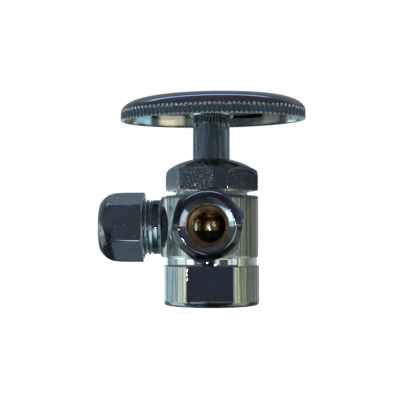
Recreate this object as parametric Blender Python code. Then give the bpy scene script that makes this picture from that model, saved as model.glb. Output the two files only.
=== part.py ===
"""Dual-outlet angle stop valve: a chrome-plated bar-stock brass body with a female inlet underneath,
two 3/8 in OD compression outlets at right angles, a rising multi-turn stem under a hex packing nut,
and an oval handle with a knurled rim.

Axes: +Z up along the stem, -X along the left outlet, -Y along the front outlet. The origin is the
bottom centre of the whole valve's box, in the plane of the inlet face. Every piece hangs from the
empty "valve_centre", where the stem axis crosses the two outlet axes, and is drawn in millimetres
from there. Each piece that moves hangs from a further empty on its own axis.
"""

import math

import bmesh
import bpy

MM = 0.001

# Sizes are in mm and angles in degrees. Names ending in _R are radii. Heights are above the
# crossing; on the outlets they are distances out along the outlet axis.

# ---- body ----
BODY_BOTTOM = -19.9
LOWER_R, GROOVE_R, MIDDLE_R = 12.3, 11.75, 12.05
GROOVE_LOW, GROOVE_HIGH = -9.8, -7.75
SHOULDER_Z = 7.9
NECK_R, NECK_TOP = 9.3, 14.4
# 1/2 in female pipe thread, drawn at its drilled taper
INLET_MOUTH_R, INLET_DEEP_R, INLET_DEPTH_Z = 10.05, 9.7, -8.2
SEAT_R, SEAT_LIP_R, SEAT_Z = 4.0, 5.0, -5.2
SEAT_LIP_HEIGHT = 0.8
CHAMBER_R, CHAMBER_TOP = 6.7, 3.0
STEM_THREAD_BORE_R = 6.55
PACKING_BORE_R, PACKING_FLOOR_Z = 7.5, 10.2
PORT_R, PORT_FROM, PORT_TO = 3.97, 2.0, 15.0  # side holes
PORT_PLUG_R, PORT_LEDGE = 5.6, 7.2  # wide outer part of each side hole, and where it starts
FLAT_APOTHEM = 10.85  # front and back wrench flats, 21.7 across
FLAT_CUTTER_X, FLAT_CUTTER_Y = 14, 15  # reach of the flat cutters past the body
# one narrow land left standing across the groove, turned from the front towards +X
LAND_OUT, LAND_HALF, LAND_TURN = 11.95, 1.17, 40.5
LAND_SINK, LAND_OVERLAP = 1.0, 0.4  # how far it runs into the body, inwards and up or down

# ---- valve centre, from the box's bottom centre ----
CENTRE = (2.2431, 7.2369, -BODY_BOTTOM)

# ---- outlet spuds ----
SPUD_PLUG_R, SPUD_PLUG_START = 5.3, 7.5
SPUD_COLLAR_R, SPUD_COLLAR_AT = 7.95, 12.3
SPUD_NECK_R = 7.0
SPUD_THREAD_R, SPUD_THREAD_ROOT_R, SPUD_PITCH, SPUD_RIBS = 7.14, 6.55, 1.058, 3  # 9/16-24 UNEF
SPUD_THREAD_START, SPUD_END = 15.1, 23.0
SPUD_THREAD_END = SPUD_THREAD_START + SPUD_RIBS * SPUD_PITCH
SPUD_SOCKET_R, SPUD_SOCKET_AT = 4.85, 17.6
SPUD_MOUTH_R, SPUD_CONE_LENGTH = 6.0, 2.2
# ring of filler metal in a groove of each spud's plug
BRAZE_IN_R, BRAZE_OUT_R, BRAZE_FROM, BRAZE_TO = 5.0, 5.5, 9.6, 10.4
BRAZE_GROOVE_R = BRAZE_IN_R - 0.1
BRAZE_END_GAP = 0.15

# ---- compression nuts and sleeves ----
NUT_BACK, NUT_FRONT, NUT_ACROSS_FLATS = 17.4, 28.5, 15.875
NUT_CORNER_R = NUT_ACROSS_FLATS / math.sqrt(3.0)
NUT_TUBE_HOLE_R, NUT_COUNTERSINK_R, NUT_THREAD_BORE_R = 4.95, 5.95, 7.38
NUT_LEDGE = 25.8
LEFT_NUT_TURN = 37.0  # one hex corner, from -Y towards +Z
FRONT_NUT_TURN = 47.0  # one hex corner, from -Z towards +X
SLEEVE_BORE_R, SLEEVE_R, SLEEVE_BACK, SLEEVE_FRONT = 4.82, 6.0, 22.75, 26.5
SLEEVE_END_R = SLEEVE_BORE_R + 0.35
SLEEVE_TAPER = 1.0

# ---- packing nut (bonnet) and packing ----
BONNET_LOW, BONNET_TOP, BONNET_CORNER_R = 9.2, 17.3, 12.15
BONNET_TURN = 21.0  # one hex corner, from the front towards +X
BONNET_HOLE_R, BONNET_THREAD_BORE_R, BONNET_ROOF_Z = 5.0, 9.6, 15.2
BONNET_MOUTH_R = BONNET_THREAD_BORE_R + 0.4
PACKING_WASHER_TOP, PACKING_TOP = 11.0, 13.1
GLAND_FLANGE_R, GLAND_GAP = 8.4, 0.3  # gap between gland and packing

# ---- stem ----
STEM_R, STEM_TOE_R = 4.76, 4.6
STEM_THREAD_R, STEM_THREAD_ROOT_R, STEM_PITCH, STEM_RIBS = 6.4, 5.9, 1.5875, 2
STEM_BOTTOM, STEM_THREAD_LOW, STEM_THREAD_TOP = 1.65, 2.1, 6.6
SPLINE_LOW, STEM_TOP = 27.1, 31.5
SPLINE_TEETH, SPLINE_ROOT_R, SPLINE_TIP_R = 36, 4.4, 4.72
SPLINE_TIP_SHARE = 0.35  # flat tip's share of one tooth
STEM_HOLE_R, TOP_HOLE_R = 1.75, 1.9  # holes up and down the middle, and the wider cut at the top
SCREW_R = 1.55  # shank of both screws
HOLDER_BORE_R, HOLDER_R, HOLDER_LOW, HOLDER_TOP = 1.9, 5.2, -1.2, 1.6
SEAT_WASHER_BORE_R, SEAT_WASHER_R, SEAT_WASHER_LOW = 2.0, 4.9, -3.95
SEAT_WASHER_TOP = HOLDER_LOW - 0.05
SEAT_SCREW_HEAD_R = 2.75
SEAT_SCREW_HEAD_TOP = SEAT_WASHER_LOW - 0.05
SLOT_HALF_LENGTH, SLOT_HALF_WIDTH = 3.2, 0.4

# ---- handle ----
HANDLE_LONG, HANDLE_SHORT = 24.1, 13.9  # half axes of the oval
HANDLE_TURN = -5.5
RIM_LOW, RIM_HIGH, DOME_RISE = 27.6, 29.7, 4.25
DOME_TOP = RIM_HIGH + DOME_RISE
DOME_POWER, DOME_ROOT = 4.75, 2.05  # shape of the dome's fall, see dome_z
SHELL_THICK, RIM_WALL = 1.5, 1.3
KNURL_TEETH, KNURL_DEPTH = 100, 0.30
ARC_STEPS = 7200  # steps used to measure the oval's length
HUB_LOW = 28.55
HUB_BORE_R = SPLINE_TIP_R + 0.3
HUB_SCREW_HOLE_R = 2.1
HANDLE_SCREW_HEAD_R, HANDLE_SCREW_HEAD_BOTTOM = 3.1, DOME_TOP - 1.35
CROSS_HALF_LENGTH, CROSS_HALF_WIDTH, CROSS_DEPTH, CROSS_TURN = 1.6, 0.3, 1.2, 20


# ------------------------------------------------------------------ helpers
def clear_scene():
    for obj in list(bpy.data.objects):
        bpy.data.objects.remove(obj, do_unlink=True)
    for mesh in list(bpy.data.meshes):
        bpy.data.meshes.remove(mesh)


def make_material(name, colour, roughness, metallic):
    material = bpy.data.materials.new(name)
    material.use_nodes = True
    inputs = material.node_tree.nodes["Principled BSDF"].inputs
    inputs["Base Color"].default_value = (*colour, 1.0)
    inputs["Roughness"].default_value = roughness
    inputs["Metallic"].default_value = metallic
    material.diffuse_color = (*colour, 1.0)
    return material


def add_empty(name, parent=None, location=(0, 0, 0), rotation=(0, 0, 0)):
    obj = bpy.data.objects.new(name, None)
    obj.empty_display_size = 0.004
    bpy.context.collection.objects.link(obj)
    obj.location = [MM * value for value in location]
    obj.rotation_euler = [math.radians(angle) for angle in rotation]
    obj.parent = parent
    return obj


def link_mesh(mesh, parent, turn):
    """Makes an object named after its mesh, turned about Z."""
    obj = bpy.data.objects.new(mesh.name, mesh)
    bpy.context.collection.objects.link(obj)
    obj.parent = parent
    obj.rotation_euler = (0, 0, math.radians(turn))
    return obj


def add_piece(mesh, parent, material, turn=0):
    obj = link_mesh(mesh, parent, turn)
    mesh.materials.append(material)
    mesh.shade_smooth()
    mesh.set_sharp_from_angle(angle=math.radians(30))
    return obj


def add_boolean(piece, mesh, parent, operation="DIFFERENCE", turn=0):
    """Adds the mesh as a hidden helper and joins it to, or cuts it from, the piece."""
    helper = link_mesh(mesh, parent, turn)
    helper.hide_render = True
    helper.display_type = "WIRE"
    modifier = piece.modifiers.new(operation.lower() + "_" + helper.name, "BOOLEAN")
    modifier.operation = operation
    modifier.solver = "EXACT"
    modifier.object = helper


def finish_mesh(work, name):
    bmesh.ops.remove_doubles(work, verts=work.verts, dist=1e-7)
    bmesh.ops.recalc_face_normals(work, faces=work.faces)
    mesh = bpy.data.meshes.new(name)
    work.to_mesh(mesh)
    work.free()
    return mesh


def lathe(name, profile, steps):
    """Turns a closed outline of (radius, height) points about Z."""
    work = bmesh.new()
    verts = [work.verts.new((radius * MM, 0, z * MM)) for radius, z in profile]
    edges = []
    for i in range(len(verts)):
        following = (i + 1) % len(verts)
        # an edge lying on the axis would sweep out nothing
        if profile[i][0] > 0 or profile[following][0] > 0:
            edges.append(work.edges.new((verts[i], verts[following])))
    bmesh.ops.spin(
        work,
        geom=edges + verts,
        cent=(0, 0, 0),
        axis=(0, 0, 1),
        steps=steps,
        angle=2 * math.pi,
        use_merge=True,
    )
    return finish_mesh(work, name)


def prism(name, outline, low, high):
    """A bar along Z over an outline of (x, y) points."""
    work = bmesh.new()
    face = work.faces.new([work.verts.new((x * MM, y * MM, low * MM)) for x, y in outline])
    extruded = bmesh.ops.extrude_face_region(work, geom=[face])
    for item in extruded["geom"]:
        if isinstance(item, bmesh.types.BMVert):
            item.co.z += (high - low) * MM
    return finish_mesh(work, name)


def hex_prism(name, corner_r, low, high, turn):
    """A hex bar along Z with a corner at `turn` degrees round from -Y towards +X."""
    angles = [math.radians(turn + 60 * i) for i in range(6)]
    outline = [(corner_r * math.sin(angle), -corner_r * math.cos(angle)) for angle in angles]
    return prism(name, outline, low, high)


def star_prism(name, teeth, tip_r, root_r, low, high):
    """A toothed bar along Z: each tooth has a flat tip and two slanted sides."""
    half_tip = SPLINE_TIP_SHARE / 2
    outline = []
    for i in range(teeth):
        for part, radius in ((-half_tip, tip_r), (half_tip, tip_r), (0.5, root_r)):
            angle = 2 * math.pi * (i + part) / teeth
            outline.append((radius * math.cos(angle), radius * math.sin(angle)))
    return prism(name, outline, low, high)


def box(name, low, high):
    work = bmesh.new()
    bmesh.ops.create_cube(work, size=1.0)
    for vert in work.verts:
        vert.co = [MM * (low[k] if vert.co[k] < 0 else high[k]) for k in range(3)]
    return finish_mesh(work, name)


def thread_ribs(start, count, root_r, crest_r, pitch):
    """Profile points of evenly pitched ribs, which stand for a thread."""
    points = []
    for i in range(count):
        z = start + i * pitch
        points += [
            (root_r, z + 0.08 * pitch),
            (crest_r, z + 0.42 * pitch),
            (crest_r, z + 0.58 * pitch),
            (root_r, z + 0.92 * pitch),
        ]
    return points


# ------------------------------------------------------------------ body
def build_body(centre, outlet_axes, material):
    """Turned outline, then side ports, wrench flats and the land across the groove."""
    profile = [
        # outside, going up
        (11.7, BODY_BOTTOM),
        (LOWER_R, BODY_BOTTOM + 0.6),
        (LOWER_R, GROOVE_LOW - 0.1),
        (GROOVE_R, GROOVE_LOW + 0.1),
        (GROOVE_R, GROOVE_HIGH - 0.1),
        (MIDDLE_R, GROOVE_HIGH + 0.1),
        (MIDDLE_R, SHOULDER_Z - 0.15),
        (MIDDLE_R - 0.15, SHOULDER_Z),
        (NECK_R, SHOULDER_Z),
        (NECK_R, NECK_TOP - 0.5),
        (NECK_R - 0.5, NECK_TOP),
        # packing bore, stem thread bore and chamber, going down
        (PACKING_BORE_R, NECK_TOP),
        (PACKING_BORE_R, PACKING_FLOOR_Z),
        (STEM_THREAD_BORE_R, PACKING_FLOOR_Z),
        (STEM_THREAD_BORE_R, CHAMBER_TOP + 0.2),
        (CHAMBER_R, CHAMBER_TOP),
        (CHAMBER_R, SEAT_Z - SEAT_LIP_HEIGHT),
        # raised seat and its hole
        (SEAT_LIP_R + 0.25, SEAT_Z - SEAT_LIP_HEIGHT),
        (SEAT_LIP_R, SEAT_Z),
        (SEAT_R + 0.15, SEAT_Z),
        (SEAT_R, SEAT_Z - 0.15),
        (SEAT_R, INLET_DEPTH_Z + 0.5),
        # inlet
        (SEAT_R + 1.0, INLET_DEPTH_Z),
        (INLET_DEEP_R, INLET_DEPTH_Z - 0.3),
        (INLET_MOUTH_R, BODY_BOTTOM + 0.75),
        (INLET_MOUTH_R + 0.65, BODY_BOTTOM),
    ]
    body = add_piece(lathe("valve_body", profile, 56), centre, material)

    port = [
        (0, PORT_FROM),
        (PORT_R, PORT_FROM),
        (PORT_R, PORT_LEDGE),
        (PORT_PLUG_R, PORT_LEDGE),
        (PORT_PLUG_R, PORT_TO),
        (0, PORT_TO),
    ]
    for side, axis in outlet_axes.items():
        add_boolean(body, lathe(side + "_port_cutter", port, 32), axis)

    flats = (
        ("front_flat_cutter", -FLAT_CUTTER_Y, -FLAT_APOTHEM),
        ("back_flat_cutter", FLAT_APOTHEM, FLAT_CUTTER_Y),
    )
    for name, y_low, y_high in flats:
        low = (-FLAT_CUTTER_X, y_low, BODY_BOTTOM - 1)
        high = (FLAT_CUTTER_X, y_high, GROOVE_LOW)
        add_boolean(body, box(name, low, high), centre)

    land = box(
        "groove_land",
        (-LAND_HALF, -LAND_OUT, GROOVE_LOW - LAND_OVERLAP),
        (LAND_HALF, -GROOVE_R + LAND_SINK, GROOVE_HIGH + LAND_OVERLAP),
    )
    add_boolean(body, land, centre, "UNION", LAND_TURN)


# ------------------------------------------------------------------ outlets
def build_spud(side, axis, material):
    """Plug in the body, collar against it, thread, sleeve cone and tube socket."""
    profile = [
        (PORT_R, SPUD_PLUG_START),
        (SPUD_PLUG_R - 0.3, SPUD_PLUG_START),
        (SPUD_PLUG_R, SPUD_PLUG_START + 0.3),
        # groove for the braze ring
        (SPUD_PLUG_R, BRAZE_FROM - BRAZE_END_GAP),
        (BRAZE_GROOVE_R, BRAZE_FROM - BRAZE_END_GAP),
        (BRAZE_GROOVE_R, BRAZE_TO + BRAZE_END_GAP),
        (SPUD_PLUG_R, BRAZE_TO + BRAZE_END_GAP),
        # collar
        (SPUD_PLUG_R, SPUD_COLLAR_AT),
        (SPUD_COLLAR_R, SPUD_COLLAR_AT),
        (SPUD_NECK_R, SPUD_COLLAR_AT + 0.75),
        (SPUD_NECK_R, SPUD_THREAD_START),
        *thread_ribs(
            SPUD_THREAD_START, SPUD_RIBS, SPUD_THREAD_ROOT_R, SPUD_THREAD_R, SPUD_PITCH
        ),
        (SPUD_NECK_R, SPUD_THREAD_END + 0.3),
        (SPUD_NECK_R, SPUD_END - 0.5),
        (SPUD_NECK_R - 0.5, SPUD_END),
        # cone and socket, going back in
        (SPUD_MOUTH_R, SPUD_END),
        (SPUD_SOCKET_R, SPUD_END - SPUD_CONE_LENGTH),
        (SPUD_SOCKET_R, SPUD_SOCKET_AT),
        (PORT_R, SPUD_SOCKET_AT - 0.4),
    ]
    add_piece(lathe(side + "_outlet_spud", profile, 32), axis, material)


def build_braze_ring(side, axis, material):
    profile = [
        (BRAZE_IN_R, BRAZE_FROM),
        (BRAZE_OUT_R, BRAZE_FROM),
        (BRAZE_OUT_R, BRAZE_TO),
        (BRAZE_IN_R, BRAZE_TO),
    ]
    add_piece(lathe(side + "_braze_ring", profile, 24), axis, material)


def build_sleeve(side, axis, material):
    profile = [
        (SLEEVE_BORE_R, SLEEVE_BACK),
        (SLEEVE_END_R, SLEEVE_BACK),
        (SLEEVE_R, SLEEVE_BACK + SLEEVE_TAPER),
        (SLEEVE_R, SLEEVE_FRONT - SLEEVE_TAPER),
        (SLEEVE_END_R, SLEEVE_FRONT),
        (SLEEVE_BORE_R, SLEEVE_FRONT),
    ]
    add_piece(lathe(side + "_ferrule", profile, 32), axis, material)


def build_compression_nut(side, axis, turn, material):
    """Hex bar, rounded off by a turned skin, then bored."""
    skin = [
        (0, NUT_BACK), (8.75, NUT_BACK), (9.25, NUT_BACK + 0.35),
        (8.95, 24.6), (8.72, 25.6), (8.35, 26.5), (7.9, 27.2), (7.4, 27.75), (6.95, 28.15),
        (6.55, NUT_FRONT), (0, NUT_FRONT),
    ]
    bore = [
        (0, NUT_BACK - 1),
        (NUT_THREAD_BORE_R + 0.9, NUT_BACK - 1),
        (NUT_THREAD_BORE_R + 0.35, NUT_BACK),
        (NUT_THREAD_BORE_R, NUT_BACK + 0.5),
        (NUT_THREAD_BORE_R, NUT_LEDGE - 0.5),
        (SLEEVE_R + 0.15, NUT_LEDGE - 0.3),
        (NUT_TUBE_HOLE_R, NUT_LEDGE + 1.0),
        (NUT_TUBE_HOLE_R, NUT_FRONT - 1.0),
        (NUT_COUNTERSINK_R, NUT_FRONT),
        (NUT_COUNTERSINK_R + 1.0, NUT_FRONT + 1),
        (0, NUT_FRONT + 1),
    ]
    blank = hex_prism(side + "_compression_nut", NUT_CORNER_R, NUT_BACK, NUT_FRONT, turn)
    nut = add_piece(blank, axis, material)
    add_boolean(nut, lathe(side + "_nut_skin", skin, 48), axis, "INTERSECT")
    add_boolean(nut, lathe(side + "_nut_bore", bore, 40), axis)


# ------------------------------------------------------------------ packing
def build_support_washer(parent, material):
    inner_r = STEM_R + 0.2
    outer_r = PACKING_BORE_R - 0.1
    low = PACKING_FLOOR_Z + 0.05
    profile = [
        (inner_r, low),
        (outer_r, low),
        (outer_r, PACKING_WASHER_TOP),
        (inner_r, PACKING_WASHER_TOP),
    ]
    add_piece(lathe("packing_support_washer", profile, 32), parent, material)


def build_packing(parent, material):
    inner_r = STEM_R + 0.06
    outer_r = PACKING_BORE_R - 0.06
    low = PACKING_WASHER_TOP + 0.05
    profile = [
        (inner_r, low),
        (outer_r, low),
        (outer_r, PACKING_TOP - 0.35),
        (PACKING_BORE_R - 0.75, PACKING_TOP),
        (STEM_R + 0.75, PACKING_TOP),
        (inner_r, PACKING_TOP - 0.35),
    ]
    add_piece(lathe("stem_packing", profile, 32), parent, material)


def build_gland(parent, material):
    """Sleeve inside the neck with a flange over it."""
    inner_r = STEM_R + 0.12
    sleeve_r = PACKING_BORE_R - 0.15
    low = PACKING_TOP + GLAND_GAP
    flange_low = NECK_TOP + 0.25
    top = BONNET_ROOF_Z - 0.05
    profile = [
        (inner_r, low),
        (sleeve_r, low),
        (sleeve_r, flange_low),
        (GLAND_FLANGE_R, flange_low),
        (GLAND_FLANGE_R, top),
        (inner_r, top),
    ]
    add_piece(lathe("packing_gland", profile, 32), parent, material)


def build_packing_nut(parent, material):
    """Hex bar, domed by a turned skin, then bored."""
    skin = [
        (0, BONNET_LOW), (11.3, BONNET_LOW), (12.1, BONNET_LOW + 0.4),
        (12.05, 13.6), (11.8, 14.2), (11.5, 14.75), (10.8, 15.2), (9.9, 15.7), (8.95, 16.25),
        (7.75, 16.8), (5.6, BONNET_TOP - 0.03), (5.3, BONNET_TOP), (0, BONNET_TOP),
    ]
    bore = [
        (0, BONNET_LOW - 1),
        (BONNET_MOUTH_R, BONNET_LOW - 1),
        (BONNET_MOUTH_R, BONNET_LOW),
        (BONNET_THREAD_BORE_R, BONNET_LOW + 0.4),
        (BONNET_THREAD_BORE_R, BONNET_ROOF_Z),
        (BONNET_HOLE_R, BONNET_ROOF_Z),
        (BONNET_HOLE_R, BONNET_TOP + 2),
        (0, BONNET_TOP + 2),
    ]
    blank = hex_prism("packing_nut", BONNET_CORNER_R, BONNET_LOW, BONNET_TOP + 1, BONNET_TURN)
    nut = add_piece(blank, parent, material)
    add_boolean(nut, lathe("packing_nut_skin", skin, 60), parent, "INTERSECT")
    add_boolean(nut, lathe("packing_nut_bore", bore, 40), parent)


# ------------------------------------------------------------------ stem
def build_stem(axis, material):
    """Toe, thread collar, plain shank and a splined end for the handle."""
    profile = [
        (STEM_HOLE_R, STEM_BOTTOM),
        (STEM_TOE_R, STEM_BOTTOM),
        (STEM_TOE_R, STEM_THREAD_LOW),
        *thread_ribs(STEM_THREAD_LOW, STEM_RIBS, STEM_THREAD_ROOT_R, STEM_THREAD_R, STEM_PITCH),
        (5.7, STEM_THREAD_TOP - 0.4),
        (STEM_R + 0.12, STEM_THREAD_TOP),
        (STEM_R, STEM_THREAD_TOP + 0.3),
        (STEM_R, SPLINE_LOW - 0.25),
        (SPLINE_ROOT_R, SPLINE_LOW),
        (SPLINE_ROOT_R, STEM_TOP - 0.3),
        (SPLINE_ROOT_R - 0.3, STEM_TOP),
        # blind holes in the top and bottom ends
        (STEM_HOLE_R, STEM_TOP),
        (STEM_HOLE_R, STEM_TOP - 7.0),
        (0, STEM_TOP - 8.0),
        (0, STEM_BOTTOM + 8.0),
        (STEM_HOLE_R, STEM_BOTTOM + 7.0),
    ]
    top_hole = [
        (0, STEM_TOP - 7.5),
        (TOP_HOLE_R, STEM_TOP - 7.0),
        (TOP_HOLE_R, STEM_TOP + 1),
        (0, STEM_TOP + 1),
    ]
    splines = star_prism(
        "stem_splines",
        SPLINE_TEETH,
        SPLINE_TIP_R,
        SPLINE_ROOT_R - 0.05,
        SPLINE_LOW + 0.05,
        STEM_TOP - 0.4,
    )
    stem = add_piece(lathe("stem", profile, 32), axis, material)
    add_boolean(stem, splines, axis, "UNION")
    add_boolean(stem, lathe("stem_hole", top_hole, 24), axis)


def build_washer_holder(axis, material):
    """Disc that backs the seat washer."""
    profile = [
        (HOLDER_BORE_R, HOLDER_LOW),
        (HOLDER_R - 0.2, HOLDER_LOW),
        (HOLDER_R, HOLDER_LOW + 0.2),
        (HOLDER_R, HOLDER_TOP - 0.2),
        (HOLDER_R - 0.2, HOLDER_TOP),
        (HOLDER_BORE_R, HOLDER_TOP),
    ]
    add_piece(lathe("seat_washer_holder", profile, 32), axis, material)


def build_seat_washer(axis, material):
    profile = [
        (SEAT_WASHER_BORE_R, SEAT_WASHER_LOW),
        (SEAT_WASHER_R - 0.25, SEAT_WASHER_LOW),
        (SEAT_WASHER_R, SEAT_WASHER_LOW + 0.25),
        (SEAT_WASHER_R, SEAT_WASHER_TOP),
        (SEAT_WASHER_BORE_R, SEAT_WASHER_TOP),
    ]
    add_piece(lathe("seat_washer", profile, 32), axis, material)


def build_seat_screw(axis, material):
    """Screw up into the stem's toe, with a slot across the underside of its head."""
    profile = [
        (0, SEAT_WASHER_LOW - 1.15),
        (1.9, SEAT_WASHER_LOW - 1.1),
        (SEAT_SCREW_HEAD_R, SEAT_WASHER_LOW - 0.6),
        (SEAT_SCREW_HEAD_R, SEAT_SCREW_HEAD_TOP),
        (SCREW_R, SEAT_SCREW_HEAD_TOP),
        (SCREW_R, STEM_BOTTOM + 4.2),
        (1.0, STEM_BOTTOM + 4.9),
        (0, STEM_BOTTOM + 5.0),
    ]
    slot = box(
        "seat_screw_slot",
        (-SLOT_HALF_LENGTH, -SLOT_HALF_WIDTH, SEAT_WASHER_LOW - 2),
        (SLOT_HALF_LENGTH, SLOT_HALF_WIDTH, SEAT_WASHER_LOW - 0.55),
    )
    screw = add_piece(lathe("seat_washer_screw", profile, 24), axis, material)
    add_boolean(screw, slot, axis)


# ------------------------------------------------------------------ handle
def dome_z(share):
    """Height of the dome, with share 0 at the middle and 1 at the rim."""
    return RIM_HIGH + DOME_RISE * max(0.0, 1.0 - share**DOME_POWER) ** (1.0 / DOME_ROOT)


def even_oval_angles(steps):
    """Oval parameters at equal arc steps, which keep every knurl tooth the same width."""
    length, lengths = 0.0, [0.0]
    last_x, last_y = HANDLE_LONG, 0.0
    for i in range(1, ARC_STEPS + 1):
        angle = 2 * math.pi * i / ARC_STEPS
        x, y = HANDLE_LONG * math.cos(angle), HANDLE_SHORT * math.sin(angle)
        length += math.hypot(x - last_x, y - last_y)
        lengths.append(length)
        last_x, last_y = x, y
    angles, k = [], 0
    for i in range(steps):
        wanted = length * (2 * math.pi * i / steps) / (2 * math.pi)
        while lengths[k + 1] < wanted:
            k += 1
        share = (wanted - lengths[k]) / (lengths[k + 1] - lengths[k])
        angles.append(2 * math.pi * (k + share) / ARC_STEPS)
    return angles


def oval_ring(work, angles, scale, z, every, notch=0.0, inset=0.0):
    """One ring of points; `notch` sinks every other angle, `inset` sinks them all."""
    verts = []
    for i in range(0, len(angles), every):
        angle = angles[i]
        depth = inset + (notch if i % 2 else 0.0)
        normal_x, normal_y = math.cos(angle) / HANDLE_LONG, math.sin(angle) / HANDLE_SHORT
        size = math.hypot(normal_x, normal_y)
        x = HANDLE_LONG * scale * math.cos(angle) - depth * normal_x / size
        y = HANDLE_SHORT * scale * math.sin(angle) - depth * normal_y / size
        verts.append(work.verts.new((x * MM, y * MM, z * MM)))
    return verts


def join_rings(work, first, second):
    """Skins two rings. A ring with fewer points shares them among the other's in fans."""
    fine, coarse = (first, second) if len(first) >= len(second) else (second, first)
    each = len(fine) // len(coarse)
    half = each // 2
    for i in range(len(coarse)):
        here, there = coarse[i], coarse[(i + 1) % len(coarse)]
        run = [fine[(i * each + j) % len(fine)] for j in range(each + 1)]
        if each == 1:
            work.faces.new((here, run[0], run[1], there))
            continue
        for j in range(each):
            work.faces.new((here if j < half else there, run[j], run[j + 1]))
        work.faces.new((here, run[half], there))


def handle_shell():
    """Rings from the middle of the top, over the knurled rim and back in under the shell."""
    rings = [
        # scale, height, every nth angle, notch, inset
        *((scale, dome_z(scale), 4, 0.0, 0.0) for scale in (0.35, 0.65, 0.84, 0.93)),
        (0.985, dome_z(0.985), 2, 0.0, 0.0),
        (1.0, RIM_HIGH, 1, KNURL_DEPTH, 0.0),
        (1.0, RIM_LOW, 1, KNURL_DEPTH, 0.0),
        (1.0, RIM_LOW, 4, 0.0, RIM_WALL),
        (1.0, RIM_HIGH + 0.3, 4, 0.0, RIM_WALL + 0.3),
        *((scale, dome_z(scale) - SHELL_THICK, 4, 0.0, 0.0) for scale in (0.80, 0.45)),
    ]
    angles = even_oval_angles(2 * KNURL_TEETH)
    work = bmesh.new()
    rows = [oval_ring(work, angles, *ring) for ring in rings]
    for upper, lower in zip(rows, rows[1:]):
        join_rings(work, upper, lower)
    for z, row in ((DOME_TOP, rows[0]), (DOME_TOP - SHELL_THICK, rows[-1])):
        middle = work.verts.new((0, 0, z * MM))
        for i in range(len(row)):
            work.faces.new((middle, row[i], row[(i + 1) % len(row)]))
    return finish_mesh(work, "handle")


def build_handle(axis, material):
    """Domed oval shell with a hub, bored for the stem and the countersunk screw."""
    hub = [
        (0, HUB_LOW),
        (5.45, HUB_LOW),
        (5.75, HUB_LOW + 1.0),
        (6.6, HUB_LOW + 3.2),
        (7.4, DOME_TOP - 1.0),
        (0, DOME_TOP - 1.0),
    ]
    bore = [
        (0, SPLINE_LOW - 1),
        (HUB_BORE_R, SPLINE_LOW - 1),
        (HUB_BORE_R, STEM_TOP + 0.15),
        (HUB_SCREW_HOLE_R, STEM_TOP + 0.15),
        (HUB_SCREW_HOLE_R, HANDLE_SCREW_HEAD_BOTTOM),
        (3.4, DOME_TOP - 0.15),
        (3.5, DOME_TOP + 1),
        (0, DOME_TOP + 1),
    ]
    handle = add_piece(handle_shell(), axis, material, HANDLE_TURN)
    add_boolean(handle, lathe("handle_hub", hub, 36), axis, "UNION")
    add_boolean(handle, lathe("handle_bore", bore, 36), axis)


def build_handle_screw(axis, material):
    """Countersunk screw with a crossed recess."""
    profile = [
        (0, STEM_TOP - 6.2),
        (1.0, STEM_TOP - 6.1),
        (SCREW_R, STEM_TOP - 5.5),
        (SCREW_R, HANDLE_SCREW_HEAD_BOTTOM),
        (HANDLE_SCREW_HEAD_R, DOME_TOP - 0.22),
        (HANDLE_SCREW_HEAD_R, DOME_TOP - 0.12),
        (0, DOME_TOP + 0.02),
    ]
    screw = add_piece(lathe("handle_screw", profile, 24), axis, material)
    bars = (
        ("screw_cross_a", CROSS_HALF_LENGTH, CROSS_HALF_WIDTH),
        ("screw_cross_b", CROSS_HALF_WIDTH, CROSS_HALF_LENGTH),
    )
    for name, half_x, half_y in bars:
        low = (-half_x, -half_y, DOME_TOP - CROSS_DEPTH)
        high = (half_x, half_y, DOME_TOP + 1)
        add_boolean(screw, box(name, low, high), axis, turn=CROSS_TURN)


# ------------------------------------------------------------------ assembly
def build_valve():
    chrome = make_material("dark_chrome", (0.56, 0.58, 0.61), roughness=0.08, metallic=1.0)
    bar_chrome = make_material("bar_chrome", (0.60, 0.61, 0.60), roughness=0.16, metallic=1.0)
    brass = make_material("raw_brass", (0.72, 0.52, 0.24), roughness=0.30, metallic=1.0)
    rubber = make_material("black_rubber", (0.03, 0.03, 0.032), roughness=0.75, metallic=0.0)
    nylon = make_material("white_nylon", (0.82, 0.80, 0.74), roughness=0.45, metallic=0.0)
    graphite = make_material("packing_graphite", (0.06, 0.06, 0.065), roughness=0.6, metallic=0.0)
    braze = make_material("silver_braze", (0.66, 0.64, 0.58), roughness=0.35, metallic=1.0)
    steel = make_material("plated_steel", (0.62, 0.62, 0.63), roughness=0.22, metallic=1.0)

    centre = add_empty("valve_centre", location=CENTRE)
    stem_axis = add_empty("stem_axis", centre)
    bonnet_axis = add_empty("packing_nut_axis", centre)
    # local +Z runs out along each outlet
    outlet_axes = {
        "left": add_empty("left_outlet_axis", centre, rotation=(0, -90, 0)),
        "front": add_empty("front_outlet_axis", centre, rotation=(90, 0, 0)),
    }
    nut_turns = {"left": LEFT_NUT_TURN, "front": FRONT_NUT_TURN}

    build_body(centre, outlet_axes, bar_chrome)
    for side, axis in outlet_axes.items():
        build_spud(side, axis, chrome)
        build_braze_ring(side, axis, braze)
        # the sleeve slides along the outlet axis with the nut, and the nut turns on it
        nut_axis = add_empty(side + "_nut_axis", axis)
        build_sleeve(side, nut_axis, brass)
        build_compression_nut(side, nut_axis, nut_turns[side], chrome)

    build_support_washer(centre, brass)
    build_packing(centre, graphite)
    build_gland(bonnet_axis, nylon)
    build_packing_nut(bonnet_axis, chrome)

    build_stem(stem_axis, chrome)
    build_washer_holder(stem_axis, brass)
    build_seat_washer(stem_axis, rubber)
    build_seat_screw(stem_axis, brass)
    build_handle(stem_axis, chrome)
    build_handle_screw(stem_axis, steel)


clear_scene()
build_valve()
bpy.context.view_layer.update()
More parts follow.
